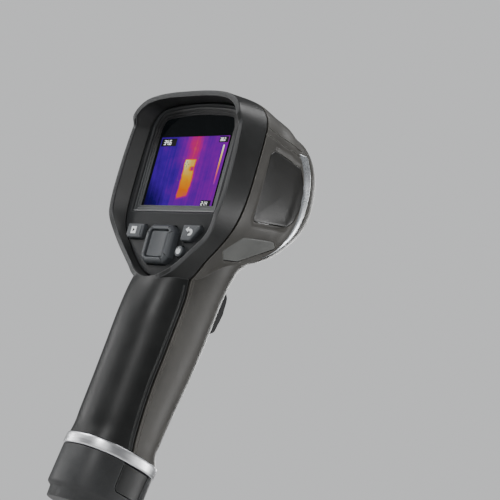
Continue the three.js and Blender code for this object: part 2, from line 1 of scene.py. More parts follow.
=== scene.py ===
"""Looks of a handheld thermal imaging camera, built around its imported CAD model.

Shapes are drawn in millimetres in two frames.  HEAD has its origin at the middle of the picture,
+Y forward and +Z up the display; ROW is the upright frame of the CAD model.  Both are carried into
metres in the CAD model's frame when a piece is finished.
"""
import json
import math

import bmesh
import bpy
import numpy as np
from mathutils import Matrix, Vector
from mathutils.bvhtree import BVHTree


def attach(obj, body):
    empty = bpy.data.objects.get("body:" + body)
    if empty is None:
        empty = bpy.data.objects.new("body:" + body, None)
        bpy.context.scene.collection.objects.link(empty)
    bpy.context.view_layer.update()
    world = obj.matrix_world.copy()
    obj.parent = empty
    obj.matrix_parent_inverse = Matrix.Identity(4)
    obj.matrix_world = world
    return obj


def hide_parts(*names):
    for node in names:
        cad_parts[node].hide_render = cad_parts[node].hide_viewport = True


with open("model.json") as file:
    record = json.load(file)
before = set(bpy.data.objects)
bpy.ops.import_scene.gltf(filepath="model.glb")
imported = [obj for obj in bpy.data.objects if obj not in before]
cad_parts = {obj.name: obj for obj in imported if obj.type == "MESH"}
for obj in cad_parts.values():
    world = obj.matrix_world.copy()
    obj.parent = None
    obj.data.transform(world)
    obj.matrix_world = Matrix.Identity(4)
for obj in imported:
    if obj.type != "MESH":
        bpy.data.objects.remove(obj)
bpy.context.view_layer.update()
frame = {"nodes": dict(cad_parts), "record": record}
nodes = frame["nodes"]
slot_of = {part["node"]: part["material_slot"] for part in frame["record"]["subparts"]}

# ---------- frames and driving sizes (millimetres) ----------
MM = 0.001
LEAN = math.radians(10)
LENS_TILT = math.radians(8)
BASE_IN_HEAD = Vector((0, -5.6, -193.6))
HEAD_TO_ROW = Matrix.Rotation(LEAN, 4, "X") @ Matrix.Translation(-BASE_IN_HEAD)
ROW_TO_HEAD = HEAD_TO_ROW.inverted()
HEAD = Matrix.Scale(MM, 4) @ HEAD_TO_ROW
ROW = Matrix.Scale(MM, 4)
WALL = 3.0
SEAM_HALF = 0.85
PANEL_BACK = -4.8
HUB = -6.0                 # height of the point that the head's outlines are drawn around
AROUND = 240               # points round a loft
TURN = np.arange(AROUND) / AROUND * math.tau
RIM = [(0, 43.6), (14, 43.4), (26, 42.3), (35.4, 40), (41.2, 36), (43.9, 32), (45.1, 28), (46.2, 20),
       (47.2, 8), (47.6, -4), (47.6, -14), (46.9, -22), (45.6, -28), (43.1, -34), (39, -40), (33, -46),
       (26.3, -52), (19.3, -58), (14, -62), (7, -65.4), (0, -66.8)]
SEAM_SECTION = [(0, 46.6), (14, 46.2), (26, 45.2), (35, 42.6), (41, 37.6), (44, 30), (45, 20), (45.6, 6),
                (45.6, -10), (44.4, -22), (41, -32), (35, -41), (28.5, -49), (22, -58), (13, -65), (0, -68)]
MIDDLE_SECTION = [(0, 45.6), (14, 45.2), (25, 44), (33, 41), (38.4, 35), (41.2, 27), (42.2, 12), (42, -8),
                  (40.6, -20), (36.5, -30.5), (30, -38.5), (22, -46), (13, -51), (0, -53)]
SHOULDER_SECTION = [(0, 44.4), (14, 44), (25, 42.4), (32.5, 39.2), (37.4, 33.2), (40, 25.4), (41, 11),
                    (40.8, -7), (39, -18.4), (34.6, -28.4), (28, -35.8), (20, -41), (10, -43.6), (0, -44.2)]
FLOOR = [(0, 40.6), (12, 40.4), (24, 39.2), (31.5, 36.4), (36, 31.4), (38, 25), (38.8, 8), (39, -8),
         (38.6, -20), (37.6, -28), (34.6, -35.5), (28, -43.5), (20, -51.5), (12, -58), (5, -61.4), (0, -62.2)]
SEAM_LINE = [(2, 60), (5.5, 44), (8.6, 33), (8.4, 24), (7.4, 8), (6.6, -10), (5.4, -28), (4.2, -46), (4, -60),
             (3.6, -74), (0.2, -102), (-2.2, -120), (-3.8, -142), (-3.6, -170)]
NOSE_ARC = (13, 2, 48)                  # centre Y, centre Z and radius of the nose joint
CRESCENT_ARC = (2, -4, 52)              # the same for the inner edge of the bright trim
SIDE_PANEL = [(21, 21), (46.5, 20.2), (53.4, 8), (53.6, -2), (51.2, -10), (47, -14.6), (20, -20.8),
              (17.9, -19), (17.6, 17.5)]
RATING_PLATE = [(17.5, -31), (42.5, -25), (46.6, -27.6), (30, -41.2), (16, -44.5), (9.2, -41.5)]
NOSE_FACE = (0, 75, 11)                 # middle of the opening for the lens
NAV_Z = -44                             # height of the nav pad's middle
ARCHIVE_KEY = [(-30, -32.6), (-16.4, -32.6), (-16.4, -40.6), (-28.8, -40.6), (-30, -39)]
RETURN_KEY = [(16.4, -32.6), (29.6, -32.6), (29.6, -34.8), (24.2, -41.4), (16.4, -41.4)]
POWER_KEY = (17.2, -47.4, 3.1)          # X, Z and radius
HANDLE_SECTIONS = [(35.6, 21.6, 24.8, 0), (41, 21, 23, -1.3), (50, 21.1, 23, -1.8), (66, 21.2, 23.7, -1.9),
                   (88, 21.6, 25, -1.9), (108, 21.8, 25.8, -2.4), (121, 22, 25.6, -2.6), (136, 22, 24.8, -2.2),
                   (149, 22.6, 25.4, -2), (156, 23.6, 25.8, -1.4), (162, 25.6, 28.4, -0.4), (168, 28, 31.4, 0)]
HALF, DEPTH = 21.8, 25.4                # half width and half depth of the battery and ring
GRIP_POWER = 2.5                        # squareness of the handle's section
RING_Z = (29.2, 35.2)
LATCH_Y, LATCH_Z = (-6.4, 12.4), (13.4, 26.6)
TRIGGER_PIN = (14.5, 143)               # Y and Z of the trigger's pin
SOCKET_Y = 20                           # middle of the socket's cover, on top of the head


# ---------- small mathematics ----------
def smooth(low, high, value):
    t = np.clip((value - low) / (high - low), 0, 1)
    return t * t * (3 - 2 * t)


def spline(points, count):
    """count points on a smooth curve through the given points, evenly spread along it."""
    p = np.array(points, float)
    p = np.vstack([2 * p[0] - p[1], p, 2 * p[-1] - p[-2]])
    fine = []
    for a, b, c, d in zip(p[:-3], p[1:-2], p[2:-1], p[3:]):
        for t in np.linspace(0, 1, 24, endpoint=False):
            fine.append(0.5 * (2 * b + (c - a) * t + (2 * a - 5 * b + 4 * c - d) * t ** 2
                               + (3 * b - a - 3 * c + d) * t ** 3))
    return spread(fine + [p[-2]], count, False)


def spread(points, count, closed):
    """count points evenly spread along a chain of points."""
    p = np.array(points, float)
    if closed and np.linalg.norm(p[0] - p[-1]) > 1e-9:
        p = np.vstack([p, p[:1]])
    run = np.concatenate([[0], np.cumsum(np.linalg.norm(np.diff(p, axis=0), axis=1))])
    at = np.linspace(0, run[-1], count, endpoint=not closed)
    return np.column_stack([np.interp(at, run, p[:, k]) for k in range(p.shape[1])])


def rounded(corners, radius, steps=8):
    """A closed outline with its corners rounded by arcs (a radius for each corner, or one for all)."""
    n = len(corners)
    radii = radius if hasattr(radius, "__len__") else [radius] * n
    out = []
    for i in range(n):
        a, b, c = (np.array(corners[(i + k) % n], float) for k in (-1, 0, 1))
        to_a, to_c = (a - b) / np.linalg.norm(a - b), (c - b) / np.linalg.norm(c - b)
        half = math.acos(np.clip(to_a @ to_c, -1, 1)) / 2
        cut = min(radii[i] / math.tan(half), 0.48 * np.linalg.norm(a - b), 0.48 * np.linalg.norm(c - b))
        for t in np.linspace(0, 1, steps + 1):
            out.append((1 - t) ** 2 * (b + to_a * cut) + 2 * t * (1 - t) * b + t ** 2 * (b + to_c * cut))
    return np.array(out)


def rectangle(half_x, half_z, radius, x=0, z=0):
    corners = [(x - half_x, z - half_z), (x + half_x, z - half_z), (x + half_x, z + half_z),
               (x - half_x, z + half_z)]
    return rounded(corners, radius)


def circle(radius, x=0, z=0, count=64):
    turn = np.linspace(0, math.tau, count, endpoint=False)
    return np.column_stack([x + radius * np.cos(turn), z + radius * np.sin(turn)])


def grown(outline, distance):
    """The outline moved outwards by distance, along its own normals."""
    p = np.array(outline, float)
    ahead, behind = np.roll(p, -1, 0) - p, p - np.roll(p, 1, 0)
    ahead /= np.maximum(np.linalg.norm(ahead, axis=1, keepdims=True), 1e-9)
    behind /= np.maximum(np.linalg.norm(behind, axis=1, keepdims=True), 1e-9)
    along = ahead + behind
    along /= np.maximum(np.linalg.norm(along, axis=1, keepdims=True), 1e-9)
    stretch = 1 / np.clip(np.sum(along * ahead, axis=1), 0.6, 1)
    doubled_area = np.sum(p[:, 0] * np.roll(p[:, 1], -1) - np.roll(p[:, 0], -1) * p[:, 1])
    normal = np.column_stack([along[:, 1], -along[:, 0]]) * (1 if doubled_area > 0 else -1)
    return p + normal * distance * stretch[:, None]


def radii_of(half_outline):
    """Radius of a half outline, smoothed and mirrored, at AROUND angles seen from the hub."""
    p = spline(half_outline, 400)
    angle = np.arctan2(p[:, 0], p[:, 1] - HUB)
    radius = np.hypot(p[:, 0], p[:, 1] - HUB)
    order = np.argsort(angle)
    return np.interp(np.minimum(TURN, math.tau - TURN), angle[order], radius[order])


def superellipse(half_x, half_z, power):
    """Radius of a rounded rectangle at AROUND angles."""
    x, z = np.abs(np.sin(TURN)) / half_x, np.abs(np.cos(TURN)) / half_z
    return (x ** power + z ** power) ** (-1 / power)


def polar(radii, centre=HUB):
    """The (X, Z) outline with these radii round (0, centre)."""
    return np.column_stack([radii * np.sin(TURN), centre + radii * np.cos(TURN)])


def flat_ring(outline, y):
    """An (X, Z) outline set at depth y, which is one number or one for each point."""
    return np.column_stack([outline[:, 0], np.broadcast_to(y, len(outline)), outline[:, 1]])


def oval(half, depth, z, growth=0.0, y=0.0):
    """A level ring of the handle's rounded section."""
    r = superellipse(half, depth, GRIP_POWER) + growth
    return np.column_stack([r * np.sin(TURN), y + r * np.cos(TURN), np.full(AROUND, z)])


# ---------- meshes ----------
def linked(name, data):
    """A new object in the scene."""
    obj = bpy.data.objects.new(name, data)
    bpy.context.scene.collection.objects.link(obj)
    return obj


def mesh_object(name, verts, faces):
    mesh = bpy.data.meshes.new(name)
    mesh.from_pydata([tuple(v) for v in verts], [], [tuple(f) for f in faces])
    mesh.validate()
    return linked(name, mesh)


def face_outwards(obj):
    bm = bmesh.new()
    bm.from_mesh(obj.data)
    bmesh.ops.remove_doubles(bm, verts=bm.verts, dist=1e-5)
    bmesh.ops.recalc_face_normals(bm, faces=bm.faces)
    if bm.calc_volume(signed=True) < 0:
        bmesh.ops.reverse_faces(bm, faces=bm.faces)
    bm.to_mesh(obj.data)
    bm.free()
    return obj


def skin(name, rings, caps=True):
    """A closed skin over rings of equally many points; each end is closed by a fan."""
    rings = [np.array(r, float) for r in rings]
    count = len(rings[0])
    verts = [v for r in rings for v in r]
    faces = []
    for k in range(len(rings) - 1):
        for i in range(count):
            j = (i + 1) % count
            faces.append((k * count + i, k * count + j, (k + 1) * count + j, (k + 1) * count + i))
    if caps:
        for k in (0, len(rings) - 1):
            hub = len(verts)
            verts.append(rings[k].mean(0))
            faces += [(k * count + i, k * count + (i + 1) % count, hub) for i in range(count)]
    return face_outwards(mesh_object(name, verts, faces))


def torus_skin(name, rings):
    """A closed skin whose last ring joins its first."""
    return skin(name, list(rings) + [rings[0]], caps=False)


def stack(name, outline, levels):
    """A plate whose outline lies in X and Z: levels are (y, growth of the outline), back to front."""
    return skin(name, [flat_ring(grown(outline, growth), y) for y, growth in levels])


def soft_levels(back, front, radius, draft=0.0, steps=4):
    """Levels of a plate with a rounded edge at front: for stack()."""
    way = math.copysign(1, front - back)
    turn = [math.pi / 2 * k / steps for k in range(steps + 1)]
    return [(back, draft)] + [(front - way * radius * (1 - math.sin(a)), -radius * (1 - math.cos(a)))
                              for a in turn]


def prism(name, outline, low, high):
    """A straight prism along X over a (Y, Z) outline."""
    verts = [(x, y, z) for x in (low, high) for y, z in outline]
    n = len(outline)
    faces = [(i, (i + 1) % n, n + (i + 1) % n, n + i) for i in range(n)]
    faces += [tuple(range(n)), tuple(range(2 * n - 1, n - 1, -1))]
    return face_outwards(mesh_object(name, verts, faces))


def block(name, low, high):
    corners = [(low[1], low[2]), (high[1], low[2]), (high[1], high[2]), (low[1], high[2])]
    return prism(name, corners, low[0], high[0])


def moved(obj, matrix):
    obj.data.transform(matrix)
    return obj


def copied(obj, name):
    return linked(name, obj.data.copy())


def mirrored(obj, name):
    twin = moved(copied(obj, name), Matrix.Scale(-1, 4, (1, 0, 0)))
    twin.data.flip_normals()
    return twin


def discard(*objs):
    for o in objs:
        mesh = o.data
        bpy.data.objects.remove(o)
        if mesh.users == 0:
            bpy.data.meshes.remove(mesh)


def combine(obj, tool, how, keep=False):
    """Joins, cuts or intersects obj with tool, which goes unless it is kept."""
    cut = obj.modifiers.new("cut", "BOOLEAN")
    cut.operation = how
    cut.solver = "MANIFOLD"
    cut.object = tool
    bpy.context.view_layer.update()
    deps = bpy.context.evaluated_depsgraph_get()
    mesh = bpy.data.meshes.new_from_object(obj.evaluated_get(deps))
    obj.modifiers.clear()
    old = obj.data
    obj.data = mesh
    bpy.data.meshes.remove(old)
    if not keep:
        discard(tool)
    return obj


def minus(obj, *tools, keep=False):
    for tool in tools:
        combine(obj, tool, "DIFFERENCE", keep)
    return obj


def plus(obj, *tools):
    for tool in tools:
        combine(obj, tool, "UNION")
    return obj


def common(obj, tool):
    return combine(obj, tool, "INTERSECT")


def largest(obj):
    """Keeps the largest separate part of a cut solid."""
    bm = bmesh.new()
    bm.from_mesh(obj.data)
    left, best = set(bm.verts), []
    while left:
        seed = left.pop()
        group, edge = [seed], [seed]
        while edge:
            v = edge.pop()
            for e in v.link_edges:
                w = e.other_vert(v)
                if w in left:
                    left.remove(w)
                    group.append(w)
                    edge.append(w)
        if len(group) > len(best):
            best = group
    keep = set(best)
    bmesh.ops.delete(bm, geom=[v for v in bm.verts if v not in keep], context="VERTS")
    bmesh.ops.dissolve_degenerate(bm, edges=bm.edges, dist=0.004)
    bm.to_mesh(obj.data)
    bm.free()
    return obj


def finish(obj, slot, replaced=(), body="camera", place=HEAD, material=None):
    """Carries a piece into the CAD frame, smooths its shading, and gives it its finish and body."""
    moved(obj, place)
    obj.data.shade_smooth()
    obj.data.set_sharp_from_angle(angle=math.radians(32))
    obj.data.materials.clear()
    obj.data.materials.append(MATERIALS[material or slot])
    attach(obj, body)
    if replaced:
        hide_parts(*replaced)
    return obj


# ---------- materials ----------
MATERIALS = {}


class Finish:
    """A material in the making: a Principled shader and short ways to feed it."""

    def __init__(self, name, colour, rough, metal=0.0):
        self.material = bpy.data.materials.new(name)
        self.material.use_nodes = True
        self.tree = self.material.node_tree
        self.shader = self.tree.nodes["Principled BSDF"]
        self.feed("Base Color", (*colour, 1))
        self.feed("Roughness", rough)
        self.feed("Metallic", metal)
        self.place = self.add("ShaderNodeTexCoord").outputs["Object"]
        self.relief = None
        MATERIALS[name] = self.material

    def add(self, kind, inputs=(), **settings):
        node = self.tree.nodes.new(kind)
        for key, value in settings.items():
            setattr(node, key, value)
        for key, value in dict(inputs).items():
            self.give(node.inputs[key], value)
        return node

    def give(self, socket, value):
        """Links the socket to another one, or sets its value."""
        if isinstance(value, bpy.types.NodeSocket):
            self.tree.links.new(value, socket)
        else:
            socket.default_value = value

    def feed(self, socket, value):
        self.give(self.shader.inputs[socket], value)

    def math(self, operation, a, b):
        return self.add("ShaderNodeMath", {0: a, 1: b}, operation=operation).outputs[0]

    def times(self, a, b):
        return self.math("MULTIPLY", a, b)

    def axis(self, index, source=None):
        """X, Y or Z of a place."""
        return self.add("ShaderNodeSeparateXYZ", {0: source or self.place}).outputs[index]

    def stretch(self, scale, turn=(0, 0, 0), source=None):
        inputs = {"Vector": source or self.place, "Scale": scale, "Rotation": turn}
        return self.add("ShaderNodeMapping", inputs).outputs[0]

    def noise(self, scale, detail=2.0, source=None, rough=0.5, warp=0.0):
        inputs = {"Vector": source or self.place, "Scale": scale, "Detail": detail, "Roughness": rough,
                  "Distortion": warp}
        return self.add("ShaderNodeTexNoise", inputs).outputs[0]

    def span(self, value, low, high, start=0.0, end=1.0):
        inputs = {"Value": value, "From Min": start, "From Max": end, "To Min": low, "To Max": high}
        return self.add("ShaderNodeMapRange", inputs).outputs[0]

    def blend(self, factor, a, b):
        mix = self.add("ShaderNodeMix", data_type="RGBA")
        for index, value in ((0, factor), (6, a), (7, b)):
            self.give(mix.inputs[index], (*value, 1) if isinstance(value, (tuple, list)) else value)
        return mix.outputs[2]

    def ramp(self, value, stops):
        node = self.add("ShaderNodeValToRGB", {0: value})
        while len(node.color_ramp.elements) < len(stops):
            node.color_ramp.elements.new(0.5)
        for element, (at, colour) in zip(node.color_ramp.elements, stops):
            element.position = at
            element.color = (*colour, 1)
        return node.outputs[0]

    def rounded(self, radius):
        """Softens every sharp edge over radius (millimetres); returns how near an edge each point is."""
        normal = self.add("ShaderNodeBevel", {"Radius": radius * MM}, samples=6).outputs[0]
        flat = self.add("ShaderNodeNewGeometry").outputs["Normal"]
        same = self.add("ShaderNodeVectorMath", {0: normal, 1: flat}, operation="DOT_PRODUCT").outputs["Value"]
        self.relief = normal
        return self.span(same, 1.0, 0.0, 0.86, 0.995)

    def bump(self, height, depth):
        """Relief of the given height field, depth in millimetres."""
        inputs = {"Height": height, "Distance": depth * MM, "Strength": 1.0}
        if self.relief:
            inputs["Normal"] = self.relief
        self.relief = self.add("ShaderNodeBump", inputs).outputs[0]

    def done(self):
        if self.relief:
            self.feed("Normal", self.relief)
        return self.material


MOTTLE = 0.18                           # how far moulded colours drift to either side


def moulded(name, colour, rough, grain, edge, specular=0.5, dust=0.0):
    """Spark-eroded moulded plastic: fine grain, slow mottling, and edges made smoother as if polished by use,
    with a painted highlight that lightens them.
    grain is (scale, depth), and edge is (radius, how much lighter the painted edge highlight is than the
    rest)."""
    f = Finish(name, colour, rough)
    f.feed("Specular IOR Level", specular)
    cloud = f.noise(55, 4, rough=0.6)
    fine = f.noise(grain[0], 3, rough=0.65)
    base = f.blend(f.span(cloud, 0, 1, 0.35, 0.7), [c * (1 - MOTTLE) for c in colour],
                   [min(1, c * (1 + MOTTLE)) for c in colour])
    speck = f.span(fine, 0, 1, 0.42, 0.72)
    base = f.blend(f.times(speck, 0.32), base, [min(1, c * 1.7 + 0.004) for c in colour])
    if dust:
        scuff = f.noise(900, 5, f.stretch((1, 1, 0.15), (0.4, 0.2, 0.3)), 0.7)
        base = f.blend(f.times(f.span(scuff, 0, 1, 0.62, 0.75), dust), base, (0.2, 0.2, 0.2))
    edge_highlight_and_polish = f.rounded(edge[0])
    # Painted highlight: every edge's colour is lightened, as if light caught it; the roughness below is the
    # real polish.
    f.feed("Base Color", f.blend(edge_highlight_and_polish, base, [min(1, c * edge[1] + 0.01) for c in colour]))
    uneven = f.math("ADD", f.span(cloud, -0.05, 0.05, 0.3, 0.7), f.span(fine, -0.07, 0.07, 0.3, 0.7))
    f.feed("Roughness", f.math("ADD", f.math("ADD", uneven, rough), f.times(edge_highlight_and_polish, -0.12)))
    f.bump(fine, grain[1])
    return f.done()


def metal(name, colour, rough, brushed=None, edge=0.3, scratches=0.3):
    """Metal; brushed gives the stretch of its grain along X, Y and Z."""
    f = Finish(name, colour, rough, 1.0)
    source = f.stretch(brushed) if brushed else f.place
    lines = f.noise(1500, 5, source, 0.7)
    cloud = f.noise(40, 3)
    f.rounded(edge)
    f.feed("Base Color", f.blend(f.span(lines, 0, 1, 0.3, 0.7), [c * (1 - scratches * 0.35) for c in colour],
                                 [min(1, c * 1.06) for c in colour]))
    drift = f.span(cloud, rough - 0.03, rough + 0.05, 0.3, 0.7)
    f.feed("Roughness", f.math("ADD", f.span(lines, -0.08, 0.1, 0.3, 0.7), drift))
    f.bump(lines, 0.012 if brushed else 0.004)
    return f.done()


def gloss(name, colour, rough=0.04, coat=0.6, specular=0.5):
    """Dark glass with faint smears."""
    f = Finish(name, colour, rough)
    f.feed("Specular IOR Level", specular)
    f.feed("Coat Weight", coat)
    f.feed("Coat Roughness", 0.03)
    smear = f.noise(120, 4, f.stretch((1, 1, 0.35), (0, 0.5, 0)), 0.6, 0.8)
    f.feed("Roughness", f.span(smear, rough, rough + 0.03, 0.45, 0.75))
    f.feed("Base Color", f.blend(f.span(smear, 0, 0.5, 0.5, 0.8), colour, [c * 1.6 + 0.002 for c in colour]))
    return f.done()


def circuit_board():
    f = Finish("circuit_board", (0.01, 0.09, 0.035), 0.38)
    cells = f.add("ShaderNodeTexBrick", {"Vector": f.stretch((1, 1, 1), (math.pi / 2, 0, 0)), "Scale": 240.0,
                                         "Mortar Size": 0.04, "Color1": (0.01, 0.1, 0.04, 1),
                                         "Color2": (0.008, 0.07, 0.03, 1), "Mortar": (0.02, 0.17, 0.06, 1)})
    pads = f.add("ShaderNodeTexVoronoi", {"Vector": f.place, "Scale": 420.0}).outputs[0]
    f.feed("Base Color", f.blend(f.span(pads, 1, 0, 0.16, 0.2), cells.outputs[0], (0.65, 0.6, 0.45)))
    f.bump(cells.outputs[1], 0.02)
    return f.done()


def cell_wrap():
    f = Finish("cell_wrap", (0.03, 0.12, 0.4), 0.3)
    ridge = f.noise(160, 3, f.stretch((1, 1, 4)), 0.6)
    top = f.span(f.axis(2), 0, 1, 0.088, 0.0885)
    f.feed("Base Color", f.blend(top, (0.03, 0.12, 0.4), (0.75, 0.75, 0.78)))
    f.bump(ridge, 0.08)
    return f.done()


def window_step():
    """The stepped frame round the glass, in painted light and shade: pale where light reaches it, painted
    black as shade under the hood.
    """
    f = Finish("window_step", (0.06, 0.065, 0.068), 0.4)
    grain = f.noise(2400, 3)
    lit = f.blend(f.span(grain, 0, 1, 0.4, 0.7), (0.034, 0.037, 0.038), (0.046, 0.049, 0.051))
    f.rounded(0.25)
    # Painted shade: above a height the frame is painted near-black, as the hood's shade; below it the grainy
    # grey stands for the lit frame.
    f.feed("Base Color", f.blend(f.span(f.axis(2), 1, 0, 0.19, 0.212), (0.004, 0.004, 0.0045), lit))
    f.feed("Roughness", f.span(grain, 0.36, 0.46))
    f.bump(grain, 0.02)
    return f.done()


def lens_germanium():
    f = Finish("germanium", (0.32, 0.26, 0.4), 0.06, 0.85)
    tint = f.add("ShaderNodeLayerWeight", {"Blend": 0.35}).outputs[1]
    f.feed("Base Color", f.ramp(tint, [(0.0, (0.16, 0.12, 0.26)), (0.5, (0.3, 0.2, 0.12)),
                                       (1.0, (0.12, 0.22, 0.3))]))
    f.feed("Roughness", f.span(f.noise(300, 3), 0.04, 0.12))
    return f.done()


def thermal_picture():
    """A false-colour heat picture: a hot upright column on a striped cool ground."""
    f = Finish("picture", (0, 0, 0), 0.12)
    uv = f.add("ShaderNodeTexCoord").outputs["UV"]
    u, v = f.axis(0, uv), f.axis(1, uv)
    stripes = f.span(f.noise(1.0, 3, f.stretch((30, 1.2, 1), source=uv), 0.55), -0.04, 0.04, 0.3, 0.7)
    patches = f.span(f.noise(3.4, 3, uv, 0.55), -0.05, 0.05, 0.3, 0.7)
    wobble = f.span(f.noise(9, 2, uv), -0.008, 0.008, 0.3, 0.7)
    across = f.math("ADD", u, wobble)

    def bell(centre, width):
        away = f.math("DIVIDE", f.math("SUBTRACT", across, centre), width)
        return f.math("POWER", math.e, f.times(f.times(away, away), -1.0))

    def step(value, low, high):
        inputs = {"Value": value, "From Min": low, "From Max": high, "To Min": 0.0, "To Max": 1.0}
        return f.add("ShaderNodeMapRange", inputs, interpolation_type="SMOOTHSTEP").outputs[0]

    ground = f.math("ADD", f.span(u, 0.25, 0.4), f.math("ADD", stripes, patches))
    cool = f.times(step(u, 0.42, 0.0), step(v, 0.55, 0.0))
    ground = f.math("SUBTRACT", ground, f.times(cool, 0.16))
    plume = f.times(f.times(bell(0.55, 0.13), step(v, 0.55, 0.72)), 0.13)
    halo = f.times(f.times(bell(0.54, 0.12), step(v, 0.02, 0.3)), 0.1)
    heat = f.math("ADD", ground, f.math("ADD", plume, halo))
    slant = f.math("ADD", v, f.times(f.math("SUBTRACT", u, 0.53), -0.25))
    body = f.times(f.times(step(across, 0.435, 0.465), step(across, 0.63, 0.59)),
                   f.times(step(slant, 0.12, 0.17), step(v, 0.69, 0.66)))
    glow = f.math("ADD", f.span(v, 0.66, 0.86, 0.15, 0.68),
                  f.math("ADD", f.times(step(u, 0.56, 0.46), f.times(step(v, 0.4, 0.62), 0.12)),
                         patches))
    dark_spot = f.times(f.times(bell(0.575, 0.028), step(v, 0.505, 0.53)), step(v, 0.585, 0.56))
    glow = f.math("SUBTRACT", glow, f.times(dark_spot, 0.3))
    mixed = f.add("ShaderNodeMix", {0: body, 2: heat, 3: glow}).outputs[0]
    colour = f.ramp(mixed, [(0.0, (0.002, 0.0, 0.012)), (0.14, (0.012, 0.0, 0.13)),
                            (0.27, (0.06, 0.0, 0.4)), (0.42, (0.26, 0.0, 0.44)), (0.56, (0.66, 0.02, 0.2)),
                            (0.68, (0.95, 0.2, 0.0)), (0.8, (1.0, 0.5, 0.01)), (0.93, (1.0, 0.88, 0.3)),
                            (1.0, (1, 1, 0.85))])
    f.feed("Emission Color", colour)
    f.feed("Emission Strength", 0.72)
    f.feed("Specular IOR Level", 0.05)
    f.feed("Base Color", f.blend(0.96, colour, (0, 0, 0)))
    return f.done()


def colour_bar():
    """The scale beside the heat picture, cool at its foot."""
    f = Finish("bar", (0, 0, 0), 0.2)
    v = f.axis(1, f.add("ShaderNodeTexCoord").outputs["UV"])
    f.feed("Emission Color", f.ramp(v, [(0.0, (0.25, 0.004, 0.42)), (0.2, (0.62, 0.03, 0.2)),
                                        (0.45, (0.95, 0.25, 0.01)), (0.75, (1.0, 0.75, 0.1)),
                                        (1.0, (1, 1, 0.9))]))
    f.feed("Emission Strength", 1.0)
    return f.done()


def ink(name, colour, glow=0.0):
    """Printed or lit marks, slightly uneven."""
    f = Finish(name, colour, 0.5)
    f.feed("Specular IOR Level", 0.08)
    worn = f.span(f.noise(700, 3), 0, 0.3, 0.4, 0.7)
    f.feed("Base Color", f.blend(worn, colour, [c * 0.8 for c in colour]))
    if glow:
        f.feed("Emission Color", (*colour, 1))
        f.feed("Emission Strength", glow)
    return f.done()


# In edge, the second number is how much lighter the edges are painted, as a highlight.
moulded("handle_plastic", (0.0115, 0.012, 0.012), 0.4, grain=(2100, 0.05), edge=(0.5, 8.0), specular=0.3,
        dust=0.04)
moulded("rim_plastic", (0.036, 0.037, 0.038), 0.45, grain=(2100, 0.05), edge=(0.45, 4.0), specular=0.25)
moulded("shell_plastic", (0.064, 0.0612, 0.056), 0.42, grain=(2400, 0.045), edge=(0.45, 3.2), specular=0.3,
        dust=0.03)
moulded("panel_plastic", (0.0105, 0.0103, 0.0094), 0.36, grain=(2600, 0.03), edge=(0.4, 9.0), specular=0.5)
moulded("label_plastic", (0.13, 0.133, 0.128), 0.5, grain=(2600, 0.03), edge=(0.3, 2.0), specular=0.4)
moulded("keypad_plastic", (0.0095, 0.0103, 0.0112), 0.48, grain=(2600, 0.035), edge=(0.4, 5.0), specular=0.22)
moulded("key_rubber", (0.05, 0.0545, 0.06), 0.45, grain=(3000, 0.02), edge=(0.4, 3.4), specular=0.4)
moulded("soft_rubber", (0.02, 0.02, 0.021), 0.62, grain=(1500, 0.06), edge=(0.6, 2.6), specular=0.35,
        dust=0.08)
moulded("black_plastic", (0.012, 0.012, 0.013), 0.45, grain=(2400, 0.03), edge=(0.3, 3.0))
metal("bright_trim", (0.74, 0.77, 0.8), 0.3, (1, 1, 1), 0.35, 0.2)
metal("brushed_ring", (0.85, 0.86, 0.88), 0.34, (0.06, 0.06, 1.6), 0.3, 0.6)
metal("steel", (0.55, 0.56, 0.58), 0.32, (1, 0.2, 1))
metal("black_anodised", (0.03, 0.03, 0.033), 0.35, (1, 0.1, 1))
metal("gold_contact", (0.95, 0.7, 0.3), 0.22)
gloss("display_glass", (0.0015, 0.0024, 0.003), 0.06, 0.0, 0.22)
gloss("camera_glass", (0.006, 0.008, 0.016), 0.03, 1.0)
circuit_board()
cell_wrap()
lens_germanium()
window_step()
thermal_picture()
colour_bar()
ink("white_ink", (0.75, 0.77, 0.78))
ink("lit_white", (0.8, 0.82, 0.82), 0.7)
ink("black_ink", (0.001, 0.001, 0.001))
ink("faint_ink", (0.09, 0.09, 0.085))


# ---------- the outer form ----------
def hermite(at, values, where):
    """Smooth curves through values at the places at, read where."""
    at, where = np.array(at, float), np.array(where, float)
    values = np.array(values, float)
    slopes = np.gradient(values, at, axis=0)
    k = np.clip(np.searchsorted(at, where, side="right") - 1, 0, len(at) - 2)
    width = at[k + 1] - at[k]
    t = (where - at[k]) / width
    shape = (-1,) + (1,) * (values.ndim - 1)
    t, width = t.reshape(shape), width.reshape(shape)
    return ((2 * t ** 3 - 3 * t ** 2 + 1) * values[k] + (t ** 3 - 2 * t ** 2 + t) * width * slopes[k]
            + (3 * t ** 2 - 2 * t ** 3) * values[k + 1] + (t ** 3 - t ** 2) * width * slopes[k + 1])


# sections of the nose: Y, height of the middle, half width, half height and squareness
DOMES = [(48, 2.6, 39.6, 40, 3.3), (55, 4.4, 38, 37.8, 3.1), (61, 6.6, 36, 34, 2.9),
         (66, 8.6, 33.4, 29.6, 2.8), (70, 10, 30.6, 25, 2.7), (73, 10.8, 27.6, 21.2, 2.7),
         (75, 11, 25, 18.6, 2.7)]
RIM_Y, RIM_ROUND = -11.5, 0.45


def rim_y(z):
    """Where the operator-side edge lies: the hood stands out, and the edge draws in at the grip."""
    return (RIM_Y - 3.0 * smooth(25, 31, z) + 3.6 * (1 - smooth(-42, -26, z))
            - 2.0 * (1 - smooth(-67, -56, z)))


